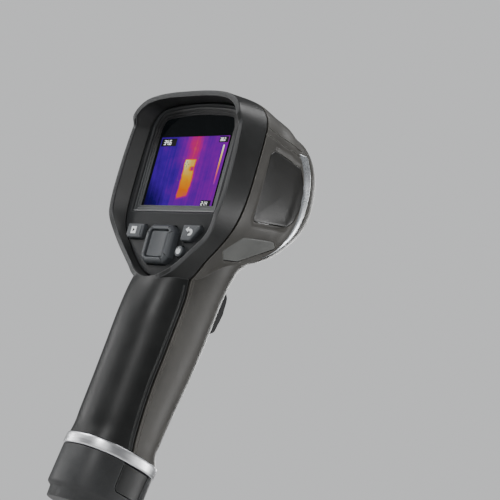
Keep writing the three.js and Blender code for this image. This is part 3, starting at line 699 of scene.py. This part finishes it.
def head_rings(inset=0.0, first=RIM_Y):
    """Rings of the head, shrunk by inset, from the rim (or from the depth first) to the nose."""
    sections = [(y, polar(radii_of(outline) - inset)) for y, outline in (
        (RIM_Y, RIM), (8, SEAM_SECTION), (25, MIDDLE_SECTION), (37, SHOULDER_SECTION))]
    for y, centre, half_x, half_z, power in DOMES:
        back = y - inset * smooth(50, 75, y)
        sections.append((back, polar(superellipse(half_x, half_z, power) - inset, centre)))
    at = [s[0] for s in sections]
    where = np.concatenate([np.linspace(max(first, RIM_Y + RIM_ROUND), 60, 84),
                            np.linspace(60.5, at[-1], 34)])
    flats = hermite(at, [s[1] for s in sections], where)
    rings = []
    for y, flat in zip(where, flats):
        hood = (rim_y(flat[:, 1]) - RIM_Y) * np.clip((8 - y) / (8 - RIM_Y), 0, 1)
        lean = smooth(52, 75, y) * math.tan(LENS_TILT) * (flat[:, 1] - 11)
        rings.append(flat_ring(flat, y + hood - lean))
    if first == RIM_Y:
        edge = polar(radii_of(RIM) - inset)
        for a in np.linspace(0, math.pi / 2, 5)[1:]:
            pulled = edge - (edge - [0, HUB]) / np.linalg.norm(edge - [0, HUB], axis=1)[:, None] \
                * RIM_ROUND * (1 - math.cos(a))
            rings.insert(0, flat_ring(pulled, rim_y(edge[:, 1]) + RIM_ROUND * (1 - math.sin(a))))
    return rings


def handle_rings(inset, low, high):
    where = np.linspace(low, high, 96)
    sizes = hermite([s[0] for s in HANDLE_SECTIONS], [s[1:] for s in HANDLE_SECTIONS], where)
    return [oval(half, depth, z, -inset, y) for z, (half, depth, y) in zip(where, sizes)]


def handle_solid(inset=0.0, low=35.6, high=168.0):
    return moved(skin("handle", handle_rings(inset, low, high)), ROW_TO_HEAD)


def away_from(outline, y, z):
    """Distance of points from a polygon: zero inside it."""
    p = np.array(outline, float)
    q = np.column_stack([y, z])
    best, inside = np.full(len(q), 1e9), np.zeros(len(q), bool)
    for a, b in zip(p, np.roll(p, -1, 0)):
        t = np.clip(((q - a) @ (b - a)) / ((b - a) @ (b - a)), 0, 1)
        best = np.minimum(best, np.linalg.norm(q - a - t[:, None] * (b - a), axis=1))
        crosses = (a[1] > q[:, 1]) != (b[1] > q[:, 1])
        reach = a[0] + (q[:, 1] - a[1]) * (b[0] - a[0]) / (b[1] - a[1] if a[1] != b[1] else 1)
        inside ^= crosses & (q[:, 0] < reach)
    return np.where(inside, 0, best)


PANEL_SINK = 0.95                       # how far the side panels lie below the shell round them


def sink_sides(obj):
    """Presses a shallow, soft-edged tray for each side panel into the head."""
    co = np.array([v.co for v in obj.data.vertices])
    away = away_from(SIDE_PANEL, co[:, 1], co[:, 2])
    reach = np.where(co[:, 2] > 18, 2.0, 3.4)
    press = PANEL_SINK * (1 - smooth(0.6, reach, away)) * (1 - smooth(44, 50, co[:, 1]))
    co[:, 0] -= np.sign(co[:, 0]) * press * (np.abs(co[:, 0]) > 25)
    obj.data.vertices.foreach_set("co", co.ravel())
    obj.data.update()
    return obj


head = sink_sides(skin("head", head_rings()))
outer = plus(head, handle_solid())
inner_head = minus(skin("inner", head_rings(WALL, 1.7)), block("back", (-60, -40, -70), (60, 1.7, 60)))
foot_hollow = moved(handle_solid(WALL, 35.6, 42), Matrix.Translation((0, 1, -5)))
grip_hollow = plus(handle_solid(WALL, 35.6, 150), foot_hollow)
hollow = plus(inner_head, minus(grip_hollow, block("behind keypad", (-60, -60, -68), (60, 2.2, 60))))
walls = minus(copied(outer, "walls"), copied(hollow, "hollow"))
surface = BVHTree.FromPolygons([v.co[:] for v in outer.data.vertices],
                               [p.vertices[:] for p in outer.data.polygons])


def on_side(y, z, lift=0.0):
    """The point on the right-hand side at (y, z), raised by lift along the surface's normal."""
    point, normal, _, _ = surface.ray_cast(Vector((90, y, z)), Vector((-1, 0, 0)))
    if point is None:
        point, normal, _, _ = surface.find_nearest(Vector((30, y, z)))
    return point + normal * lift


def seam_edge(shift, low=-170, high=60):
    """The joint between the shells, moved forward by shift, between two heights."""
    curve = spline(SEAM_LINE, 160)
    curve = curve[(curve[:, 1] >= low) & (curve[:, 1] <= high)]
    return [(y + shift, z) for y, z in curve]


def front_of_seam(shift):
    return prism("front", seam_edge(shift) + [(120, -170), (120, 60)], -70, 70)


def front_of_nose(shift):
    """Everything ahead of the nose joint, moved by shift."""
    centre_y, centre_z, radius = NOSE_ARC
    arc = [(centre_y + math.sqrt((radius + shift) ** 2 - (z - centre_z) ** 2), z)
           for z in np.linspace(43.0, -34.0, 70)]
    ahead = [(46 + shift, -37), (46 + shift, -50), (120, -50), (120, 60)]
    return prism("nose", [(37 + shift, 60)] + arc + ahead, -70, 70)


# ---------- the two shells and the nose ----------
def panel_front(z):
    return np.interp(z, [-20.8, -14.6, -10, -2, 8, 20.2, 21], [20, 47, 51.2, 53.6, 53.4, 46.5, 21])


def crescent_edges(z, gap):
    """Front and rear edge of the bright trim at height z."""
    outer_y = NOSE_ARC[0] + math.sqrt((NOSE_ARC[2] - gap) ** 2 - (z - NOSE_ARC[1]) ** 2)
    inner_y = CRESCENT_ARC[0] + math.sqrt((CRESCENT_ARC[2] + gap) ** 2 - (z - CRESCENT_ARC[1]) ** 2)
    if -20.8 < z < 21:
        inner_y = max(inner_y, float(panel_front(z)) + gap)
    return outer_y, inner_y


CRESCENT_Z = (28.2, -34.4)
heights = np.linspace(*CRESCENT_Z, 90)
hole = [(crescent_edges(z, 0.0)[0] + 2, z) for z in heights] \
    + [(min(crescent_edges(z, 0.05)[1], crescent_edges(z, 0)[0]), z) for z in heights[::-1]]
panel_outline = rounded(SIDE_PANEL, [1.2, 1, 6, 8, 6, 1, 2.5, 1.5, 3])
rating_outline = rounded(RATING_PLATE, [1, 1, 1, 2, 2, 1])


def on_top(name, outline, low):
    """A solid over the socket's place, from height low up, whose outline is drawn in X and Z."""
    lying = Matrix.Translation((0, SOCKET_Y, 0)) @ Matrix.Rotation(math.radians(-90), 4, "X")
    return moved(stack(name, outline, [(-60, 0), (-low, 0)]), lying)


def along_x(obj):
    """Turns a plate drawn in X and Z so that it lies across: its X runs along Y, its levels along X."""
    moved(obj, Matrix(((0, 1, 0, 0), (1, 0, 0, 0), (0, 0, 1, 0), (0, 0, 0, 1))))
    return face_outwards(obj)


def skin_grooves(depth, *solids):
    """The shallow outermost part of some solids, to be cut as grooves of that depth."""
    core = plus(skin("core", head_rings(depth)), handle_solid(depth, 30))
    for s in solids:
        minus(s, core, keep=True)
    discard(core)
    return solids


# rear shell: hood, rim, funnel and the back of the handle
MOUTH_INSET = 3.2                       # width of the rim's flat edge
mouth, floor = radii_of(RIM) - MOUTH_INSET, radii_of(FLOOR)
funnel_rings = [flat_ring(polar(mouth + 0.35), -30.0)]
for growth, forward in ((0.35, 0.0), (0.22, 0.05), (0.1, 0.14), (0.03, 0.28), (0, 0.6)):
    flat = polar(mouth + growth)
    funnel_rings.append(flat_ring(flat, rim_y(flat[:, 1]) + forward))
for t in np.linspace(0.15, 1, 10):
    flat = polar(mouth * (1 - t) + floor * t)
    funnel_rings.append(flat_ring(flat, (rim_y(flat[:, 1]) + 0.6) * (1 - t) + PANEL_BACK * t))
funnel = skin("funnel", funnel_rings + [flat_ring(polar(floor), -0.5)])

rear = minus(copied(walls, "rear_shell"), front_of_seam(-SEAM_HALF), funnel,
             stack("lcd", rectangle(34.2, 25.4, 2, 0, 0.6), [(-1.5, 0), (10, 0)]),
             stack("switches", rectangle(24, 10, 2, 0, -43), [(-1.5, 0), (10, 0)]))
band = seam_edge(-3.0, -166, -64) + seam_edge(-2.45, -166, -64)[::-1]
(trim_groove,) = skin_grooves(0.45, prism("groove", band, -70, 70))
largest(minus(rear, trim_groove))

# front shell: its openings follow the pieces let into it
lines = [block("line", (20, 9, z - 0.32), (60, 46, z + 0.32)) for z in (29.8, 25.9)]
side_line = prism("line", seam_edge(2.1, -166, -58) + seam_edge(2.5, -166, -58)[::-1], -70, 70)
grooves = skin_grooves(0.55, *lines, side_line)
front = common(copied(walls, "front_shell"), front_of_seam(SEAM_HALF))
minus(front, front_of_nose(-0.35), grooves[2])
side_tools = (prism("panel", grown(panel_outline, 0.22), 20, 60), prism("crescent", hole, 20, 60))
for tool in (*side_tools, *grooves[:2]):
    minus(front, mirrored(tool, "left"))
    minus(front, tool)
minus(front, prism("rating", grown(rating_outline, 0.28), 18, 60),
      moved(block("trigger", (-7.9, 9, 116.6), (7.9, 45, 147.4)), ROW_TO_HEAD),
      on_top("usb", rectangle(10.5, 7.0, 2.2), 43.9),
      block("port", (-6.6, SOCKET_Y - 4, 36), (6.6, SOCKET_Y + 4, 60)),
      block("hinge room", (-10.4, 11.3, 45.9), (10.4, 13.3, 60)))
largest(front)

nose = common(copied(walls, "nose_shell"), front_of_nose(0.35))
opening = stack("opening", rectangle(21.5, 15, 12), [(-8, 0), (-1.2, 0), (-0.2, 0.5), (0.6, 1.6), (8, 3)])
minus(nose, moved(opening, Matrix.Translation(NOSE_FACE) @ Matrix.Rotation(LENS_TILT, 4, "X")))
largest(nose)


# ---------- pieces let into the sides ----------
def inlay(name, outline, edge_lifts, thickness, lift):
    """A plate that follows the side of the head inside a (Y, Z) outline.
    edge_lifts are (distance from the edge, height); lift raises it all, and thickness is its depth."""
    middle = outline.mean(0)
    rims = [(grown(outline, -away), height) for away, height in edge_lifts]
    last, top = rims[-1]
    rims += [(middle + (last - middle) * s, top) for s in np.linspace(0.94, 0.06, 16)]
    rings = [[on_side(y, z, -thickness) for y, z in outline]]
    rings += [[on_side(y, z, height + lift) for y, z in line] for line, height in rims]
    return skin(name, rings)


soft_edge = [(0, -0.5), (0.06, -0.22), (0.2, -0.07), (0.45, 0.0)]
panel = inlay("side_panel_cover_right", panel_outline, soft_edge, 2.2, 0.05)
rating = inlay("rating_label", rating_outline, [(0, -0.35), (0.1, -0.12), (0.3, -0.06)], 1.6, -0.02)


def crescent(name):
    """The bright trim: a broad facet towards the operator and a narrow one towards the lens.
    Its profile is (share of the width, height), and its rows are evened out along the trim."""
    profile = [(0.0, -2.0), (0.0, -0.35), (0.05, -0.1), (0.3, 0.35), (0.56, 0.85), (0.62, 0.86), (0.8, 0.5),
               (0.96, 0.05), (1.0, -0.3), (1.0, -2.0)]
    rows = []
    for z in np.linspace(CRESCENT_Z[0] - 0.3, CRESCENT_Z[1], 110):
        front_y, back_y = crescent_edges(z, 0.3)
        back_y = min(back_y, front_y - 0.12)
        share = min(1.0, (front_y - back_y) / 4.0)
        rows.append([on_side(back_y + (front_y - back_y) * w, z, h if h <= 0 else h * share)
                     for w, h in profile])
    rows = np.array(rows)
    reach = 6
    padded = np.concatenate([rows[:1].repeat(reach, 0), rows, rows[-1:].repeat(reach, 0)])
    for i in range(len(rows)):
        rows[i, :, 0] = padded[i:i + 2 * reach + 1, :, 0].mean(axis=0)
    return skin(name, rows)


trim = crescent("bright_trim_right")
for piece, node, slot in ((panel, "side_panel", "panel_plastic"), (trim, "chrome_trim", "bright_trim")):
    twin = mirrored(piece, piece.name.replace("right", "left"))
    finish(piece, slot, [node + "_right"])
    finish(twin, slot, [node + "_left"])
finish(rating, "panel_plastic", ["rating_plate"], material="label_plastic")

# the rim's flat edge has a paler finish than the rest of the rear shell
rim_radii = radii_of(RIM)
rim_faces = []
for face in rear.data.polygons:
    x, y, z = face.center
    step = round((math.atan2(x, z - HUB) % math.tau) / math.tau * AROUND) % AROUND
    depth_in = rim_radii[step] - math.hypot(x, z - HUB)
    if abs(y - rim_y(z)) < RIM_ROUND * 0.9 and -0.25 < depth_in < 3.5 and face.normal.y < -0.25:
        rim_faces.append(face.index)
finish(rear, "handle_plastic", ["rear_housing"])
rear.data.materials.append(MATERIALS["rim_plastic"])
for index in rim_faces:
    rear.data.polygons[index].material_index = 1
finish(front, "shell_plastic", ["front_housing"])
finish(nose, "shell_plastic", ["nose_bezel"])

# ---------- control panel, window and picture ----------
arch = spline([(34.3, 27), (30.6, 34.4), (22, 36.8), (0, 38.2), (-22, 36.8), (-30.6, 34.4), (-34.3, 27)], 90)
window_foot = rounded([(-34.35, 20), (-34, -24), (34, -24), (34.35, 20)], [0.1, 1.3, 1.3, 0.1])
window = spread(np.vstack([window_foot, arch]), 260, True)
nav_outline = rounded([(-11.4 + 3.6, -54.9), (11.4 - 3.6, -54.9), (11.4, -51.3), (11.4, -36.7), (7.8, -33.1),
                       (-7.8, -33.1), (-11.4, -36.7), (-11.4, -51.3)], 0.9, 5)
archive_outline, return_outline = rounded(ARCHIVE_KEY, 0.7, 5), rounded(RETURN_KEY, 0.8, 5)
power_outline = circle(POWER_KEY[2], POWER_KEY[0], POWER_KEY[1])

plate = stack("keypad_plate", grown(polar(floor), -0.65), soft_levels(-2.3, PANEL_BACK, 0.35))
minus(plate, stack("window", window, [(-12, 1.1), (PANEL_BACK - 0.1, 1.1), (-3.95, 0.05), (-3.8, 0), (2, 0)]))
small_keys = (archive_outline, return_outline, power_outline)
for outline, gap in ((nav_outline, 0.5), *((key_outline, 0.35) for key_outline in small_keys)):
    minus(plate, stack("key hole", outline, [(-12, gap + 0.3), (PANEL_BACK - 0.02, gap + 0.3), (-4.5, gap),
                                             (2, gap)]))
for outline in small_keys:
    minus(plate, stack("flange room", outline, [(-3.6, 1.2), (2, 1.2)]))
finish(plate, "keypad_plastic", ["control_panel"])

# the stepped frame round the glass: (growth of the window's outline, depth)
frame_steps = [(-0.15, -3.75), (-0.5, -3.6), (-0.95, -3.5), (-1.05, -3.0), (-2.4, -2.9), (-2.5, -2.55),
               (-4.0, -2.5), (-4.1, -2.12), (-0.15, -2.12)]
steps = torus_skin("window_steps", [flat_ring(grown(window, away), y) for away, y in frame_steps])
finish(steps, "keypad_plastic", material="window_step")

glass = stack("display_window", window, [(-0.8, 1.2), (-1.95, 1.2), (-2.0, 1.15)])
finish(glass, "display_glass", ["display_glass"])


def lit_plate(name, outline, y, thickness, slot, material=None):
    """A thin plate facing the operator, with its picture laid from corner to corner."""
    obj = stack(name, outline, [(y, 0), (y - thickness, 0)])
    low, high = outline.min(0), outline.max(0)
    uv = obj.data.uv_layers.new(name="UVMap")
    for loop in obj.data.loops:
        x, _, z = obj.data.vertices[loop.vertex_index].co
        uv.data[loop.index].uv = ((x - low[0]) / (high[0] - low[0]), (z - low[1]) / (high[1] - low[1]))
    return finish(obj, slot, material=material)


PICTURE_HALF = (28.3, 21.2)
PICTURE_Y = -2.03
lit_plate("heat_picture", rectangle(*PICTURE_HALF, 0.15), PICTURE_Y, 0.03, "picture")
MARK_Y = PICTURE_Y - 0.035
lit_plate("colour_scale", rectangle(0.55, 11.6, 0.1, 25.4, 4.2), MARK_Y, 0.03, "picture", "bar")


def mark(name, outline, y, material, depth=0.04, body="camera", slot="picture"):
    """A thin printed or lit mark facing the operator."""
    obj = stack(name, np.array(outline, float), [(y, 0), (y - depth, 0)])
    return finish(obj, slot, (), body, material=material)


def bars(name, boxes, y, material):
    """Flat marks made of upright rectangles (x, z, half width, half height)."""
    solids = [stack("bar", rectangle(hx, hz, min(hx, hz) * 0.3, x, z), [(y, 0), (y - 0.04, 0)])
              for x, z, hx, hz in boxes]
    bm = bmesh.new()
    for s in solids:
        bm.from_mesh(s.data)
    mesh = bpy.data.meshes.new(name)
    bm.to_mesh(mesh)
    bm.free()
    discard(*solids)
    return finish(linked(name, mesh), "picture", material=material)


SEGMENTS = {"1": "bc", "2": "abged", "3": "abgcd", "4": "fgbc", "6": "afgedc", "8": "abcdefg"}
PARTS = {"a": (0, 1, 1, 0), "b": (1, 0.5, 0, 1), "c": (1, -0.5, 0, 1), "d": (0, -1, 1, 0),
         "e": (-1, -0.5, 0, 1), "f": (-1, 0.5, 0, 1), "g": (0, 0, 1, 0)}


def digits(text, x, z, size):
    """Rectangles of a number in plain seven-part digits, starting at x and centred on z."""
    weight = 0.14
    out = []
    for sign in text:
        if sign == ".":
            out.append((x + 0.12 * size, z - size, weight * size * 1.2, weight * size * 1.2))
            x += 0.55 * size
            continue
        for part in SEGMENTS[sign]:
            across, up, wide, tall = PARTS[part]
            out.append((x + (0.5 + 0.5 * across) * size, z + up * size,
                        (0.5 * size if wide else 0) + weight * size,
                        (0.5 * size if tall else 0) + weight * size))
        x += 1.55 * size
    return out


for name, x, z, hx, hz in (("reading_box", -21.2, 18.0, 6.4, 2.3), ("upper_limit_box", 24.2, 19.0, 3.6, 1.7),
                           ("lower_limit_box", 22.8, -18.4, 4.0, 1.8)):
    mark(name, rectangle(hx, hz, 0.2, x, z), PICTURE_Y - 0.03, "black_ink", 0.02)
bars("picture_numbers", digits("34.6", -25.2, 18.0, 1.25) + digits("38.2", 21.3, 19.0, 0.85)
     + digits("21.4", 19.6, -18.4, 0.95), PICTURE_Y - 0.06, "lit_white")
SPOT_X, SPOT_Z = -0.9, 4.6
bars("spot_cross", [(SPOT_X + dx, SPOT_Z + dz, 0.62 if dx else 0.13, 0.62 if dz else 0.13)
                    for dx, dz in ((1.3, 0), (-1.3, 0), (0, 1.3), (0, -1.3))], MARK_Y, "black_ink")
corners = []
for sx in (-1, 1):
    for sz in (-1, 1):
        corners += [(1.4 + sx * 6.3, 1.6 + sz * 6.6, 0.55, 0.08),
                    (1.4 + sx * 6.8, 1.6 + sz * 6.1, 0.08, 0.55)]
bars("area_corners", corners, MARK_Y, "faint_ink")

# ---------- keys ----------
KEY_TOP, POWER_TOP = -7.4, -6.9


def key(name, outline, top, radius, extra=()):
    """A cap with a soft edge and a flange behind the plate; it rides on the body named after it."""
    node = name.replace("_cap", "")
    obj = stack(name, outline, soft_levels(-3.2, top, radius, 0.0, 6))
    plus(obj, stack("flange", outline, [(-2.4, 0.8), (-3.2, 0.8)]), *extra)
    return finish(obj, "key_rubber", [node], node)


ridge = stack("ridge", rectangle(0.75, 3.1, 0.5, -18.2, -36.6), soft_levels(-5.5, -8.0, 0.5, 0.25))
key("archive_key_cap", archive_outline, KEY_TOP, 0.75, [ridge])
key("return_key_cap", return_outline, KEY_TOP, 0.85)
key("power_key_cap", power_outline, POWER_TOP, 0.7)

ring = stack("nav_ring_cap", nav_outline, [(-3.4, 0), (-7.2, 0), (-7.7, -0.12), (-8.9, -1.25), (-9.1, -1.5),
                                           (-9.2, -1.85)])
centre_outline = rectangle(7.4, 7.6, 1.8, 0, NAV_Z)
minus(ring, stack("hole", centre_outline, [(-20, 0.95), (-9.3, 0.95), (-8.9, 0.5), (-8.6, 0.4), (5, 0.4)]))
finish(ring, "key_rubber", ["nav_ring"], "nav_ring")
centre = stack("nav_centre_cap", centre_outline, [(-3.9, 0), (-7.3, 0), (-7.75, -0.15), (-8.1, -0.55),
                                                  (-8.28, -1.3), (-8.3, -2.2)])
dish = moved(stack("dish", circle(60, 0, 0, 180), [(-7, 0), (7, 0)]),
             Matrix.Translation((-0.6, -67.95, NAV_Z)) @ Matrix.Rotation(math.radians(90), 4, "X"))
minus(centre, dish)
finish(centre, "key_rubber", ["nav_centre_key"], "nav_centre_key")


def icon(name, outline, y, body, material="white_ink"):
    return mark(name, outline, y, material, 0.05, body, "key_rubber")


icon("archive_mark", rectangle(2.1, 2.1, 0.25, -24.2, -36.4), KEY_TOP, "archive_key")
icon("archive_play", rounded([(-24.9, -37.5), (-24.9, -35.3), (-23.2, -36.4)], 0.12), KEY_TOP - 0.05,
     "archive_key", "black_ink")
hook = [(-1.0, 1.1), (1.1, 1.1)]
bend = [(1.1 + 1.55 * math.sin(a), -0.45 + 1.55 * math.cos(a)) for a in np.linspace(0, math.pi, 14)]
path = np.array(hook + bend + [(-0.2, -2.0)])
ahead = np.gradient(path, axis=0)
across = np.column_stack([-ahead[:, 1], ahead[:, 0]]) / np.linalg.norm(ahead, axis=1)[:, None] * 0.36
icon("return_mark", np.vstack([path + across, (path - across)[::-1]]) + [22.0, -36.3], KEY_TOP, "return_key")
icon("return_arrow", rounded([(19.2, -35.2), (21.5, -33.7), (21.5, -36.7)], 0.1), KEY_TOP, "return_key")
gap_turn = np.linspace(math.radians(35), math.radians(325), 30)
arc = np.column_stack([np.sin(gap_turn), np.cos(gap_turn)])
icon("power_mark", np.vstack([arc * 1.75, (arc * 1.25)[::-1]]) + POWER_KEY[:2], POWER_TOP, "power_key")
icon("power_bar", rectangle(0.26, 1.0, 0.1, POWER_KEY[0], POWER_KEY[1] + 1.0), POWER_TOP, "power_key")


# ---------- handle, ring and battery ----------
def grip_rings(levels):
    """Rings of the battery's section: levels are (height, growth)."""
    return [oval(HALF, DEPTH, z, growth) for z, growth in levels]


ring_low, ring_high = RING_Z
profile = [(ring_low, -3.4), (ring_low, 0.1), (ring_low + 0.12, 0.36), (ring_low + 0.4, 0.52),
           (ring_low + 1.2, 0.62), (ring_high - 1.2, 0.62), (ring_high - 0.4, 0.5), (ring_high - 0.12, 0.34),
           (ring_high, 0.1), (ring_high, -3.4)]
finish(torus_skin("ring_band", grip_rings(profile)), "brushed_ring", ["handle_ring"], place=ROW)

CASE_TOP = RING_Z[0] - 0.35
case_levels = [(0, -3.2), (0.15, -2.85), (0.5, -2.6), (5.4, -2.3), (6.0, -2.0), (7.1, -0.55), (7.5, -0.22),
               (8.0, -0.05), (8.6, 0.0), (CASE_TOP - 0.5, 0.0), (CASE_TOP - 0.15, -0.12), (CASE_TOP, -0.5)]
case = skin("battery_body", grip_rings(case_levels))
latch_outline = rounded([(LATCH_Y[0], CASE_TOP - 0.6), (LATCH_Y[0] + 0.3, LATCH_Z[0]),
                         (LATCH_Y[1] - 0.6, LATCH_Z[0]), (LATCH_Y[1] + 0.3, CASE_TOP - 0.6)],
                        [0.5, 2.6, 2.6, 0.5])
core = skin("core", grip_rings([(-1, -3.0), (50, -3.0)]))
latch = common(copied(case, "latch_panel_right"), prism("latch", latch_outline, 10, 40))
minus(latch, core, keep=True)
tongue = plus(block("tongue", (15.2, -4, 20), (17, 4, 39.4)), block("root", (15.2, -4, 19), (19.4, 4, 24)))
largest(plus(latch, tongue))
room = plus(prism("room", grown(latch_outline, 0.6), 15.6, 40), block("slot", (13.6, -5, 17), (20, 5, 60)),
            block("open top", (15.6, LATCH_Y[0] - 0.3, 26), (40, LATCH_Y[1] + 0.9, 31)))
plus(case, skin("neck", [oval(13, 16, 28), oval(13, 16, 99.2), oval(12.5, 15.5, 100)]))
minus(case, mirrored(room, "left room"), room)
minus(case, skin("cavity", [oval(11.2, 13.6, z) for z in (8, 120)]))
discard(core)
finish(largest(case), "handle_plastic", ["battery_case"], "battery", ROW, "rim_plastic")
twin = mirrored(latch, "latch_panel_left")
finish(latch, "keypad_plastic", ["latch_right"], "latch_right", ROW, "handle_plastic")
finish(twin, "keypad_plastic", ["latch_left"], "latch_left", ROW, "handle_plastic")

# ---------- trigger, cover of the socket ----------
finger = spread(rounded([(11.6, 146.6), (23.4, 146.6), (28.4, 142.4), (29.9, 132), (28.8, 121), (26, 118.6),
                         (20, 118.6), (12.4, 122)], [0.6, 2.5, 6, 9, 3, 1.5, 1.5, 0.6]), 160, True)
levels = [(-7.5, -1.6), (-7.3, -0.9), (-6.8, -0.35), (-6.0, -0.05), (-5, 0), (5, 0), (6.0, -0.05),
          (6.8, -0.35), (7.3, -0.9), (7.5, -1.6)]
pull = along_x(stack("trigger_lever", finger, levels))
pin_bore = along_x(stack("bore", circle(1.6, *TRIGGER_PIN), [(-20, 0), (20, 0)]))
spring_bore = stack("bore", circle(3.1, 0, 131), [(10, 0), (17, 0)])
minus(pull, pin_bore, spring_bore)
for z in np.linspace(125.5, 138.5, 5):
    minus(pull, along_x(stack("finger groove", circle(1.0, 30.6, z, 24), [(-5.2, 0), (5.2, 0)])))
finish(largest(pull), "soft_rubber", ["trigger"], "trigger", ROW)

lid = common(copied(outer, "socket_cover"), on_top("lid", rectangle(10.1, 6.6, 1.9), 44.25))
plus(lid, block("plug", (-4.8, SOCKET_Y - 2.4, 42.6), (4.8, SOCKET_Y + 2.4, 44.8)))
finish(largest(lid), "soft_rubber", ["usb_cover"], "usb_cover")

discard(outer, hollow, walls)

# ---------- the pieces carried over from the CAD model ----------
for name, obj in nodes.items():
    if obj.hide_render:
        continue
    obj.data.shade_smooth()
    obj.data.set_sharp_from_angle(angle=math.radians(38))
    obj.data.materials.clear()
    obj.data.materials.append(MATERIALS["black_plastic" if name == "lcd_module" else slot_of[name]])


# ---------- floor, light and camera ----------
FLOOR_HALF, FLOOR_Z = 40.0, -0.2
ends = (-FLOOR_HALF, FLOOR_HALF)
floor_sheet = mesh_object("floor", [(x, y, FLOOR_Z) for x in ends for y in ends], [(0, 2, 3, 1)])
pale = Finish("pale_floor", (0.78, 0.78, 0.77), 0.8)
pale.feed("Base Color", pale.blend(pale.noise(6, 3), (0.76, 0.76, 0.755), (0.8, 0.8, 0.795)))
floor_sheet.data.materials.append(pale.done())

world = bpy.data.worlds.new("studio")
bpy.context.scene.world = world
world.use_nodes = True
sky = world.node_tree.nodes["Background"]
sky.inputs[0].default_value = (0.88, 0.89, 0.9, 1)
BACKDROP, AMBIENT = 0.75, 0.2           # brightness of the backdrop itself and of the light it gives
ray = world.node_tree.nodes.new("ShaderNodeLightPath")
level = world.node_tree.nodes.new("ShaderNodeMix")
level.inputs[2].default_value = AMBIENT
level.inputs[3].default_value = BACKDROP
world.node_tree.links.new(ray.outputs["Is Camera Ray"], level.inputs[0])
world.node_tree.links.new(level.outputs[0], sky.inputs[1])


def softbox(name, place, aim, width, height, power):
    """A rectangular lamp at a place in metres, turned towards another."""
    light = bpy.data.lights.new(name, "AREA")
    light.shape = "RECTANGLE"
    light.size, light.size_y = width, height
    light.energy = power
    obj = linked(name, light)
    obj.location = place
    obj.rotation_euler = (Vector(aim) - Vector(place)).to_track_quat("-Z", "Y").to_euler()


CENTRE = (0, 0.01, 0.13)
HEAD_CENTRE = (0, 0, 0.19)
softbox("key", (-0.7, -0.75, 0.8), CENTRE, 0.35, 0.5, 8)
softbox("left", (-1.0, -0.5, 0.12), CENTRE, 0.2, 0.5, 3)
softbox("neck", (0.38, -0.9, 0.44), CENTRE, 0.2, 0.2, 5)
softbox("crown", (0.3, 0.3, 0.95), HEAD_CENTRE, 0.5, 0.3, 4)
softbox("side", (0.62, 0.85, 0.24), HEAD_CENTRE, 0.22, 0.42, 3.4)
softbox("fill", (0.85, -0.8, 0.25), CENTRE, 0.4, 0.4, 0.8)
softbox("back", (-0.6, 0.8, 0.5), CENTRE, 0.6, 0.5, 7)

# The camera stands low on the operator's right, looking up along the display.
FOCAL_IN_PICTURE_WIDTHS = 3.0
camera_data = bpy.data.cameras.new("camera")
camera_data.sensor_width = 36
camera_data.lens = 36 * FOCAL_IN_PICTURE_WIDTHS
camera_data.clip_start, camera_data.clip_end = 0.05, 60
camera = linked("camera", camera_data)
VIEWPOINT = Vector((624.697, -521.694, -200.222))
SIGHT = Matrix(((0.6966, 0.6723, 0.2504), (-0.0319, -0.3197, 0.9470), (0.7167, -0.6677, -0.2012)))
turn = HEAD_TO_ROW.to_3x3() @ SIGHT.transposed()
camera.matrix_world = Matrix.LocRotScale(HEAD @ VIEWPOINT, turn.to_quaternion().normalized(), None)
bpy.context.scene.camera = camera
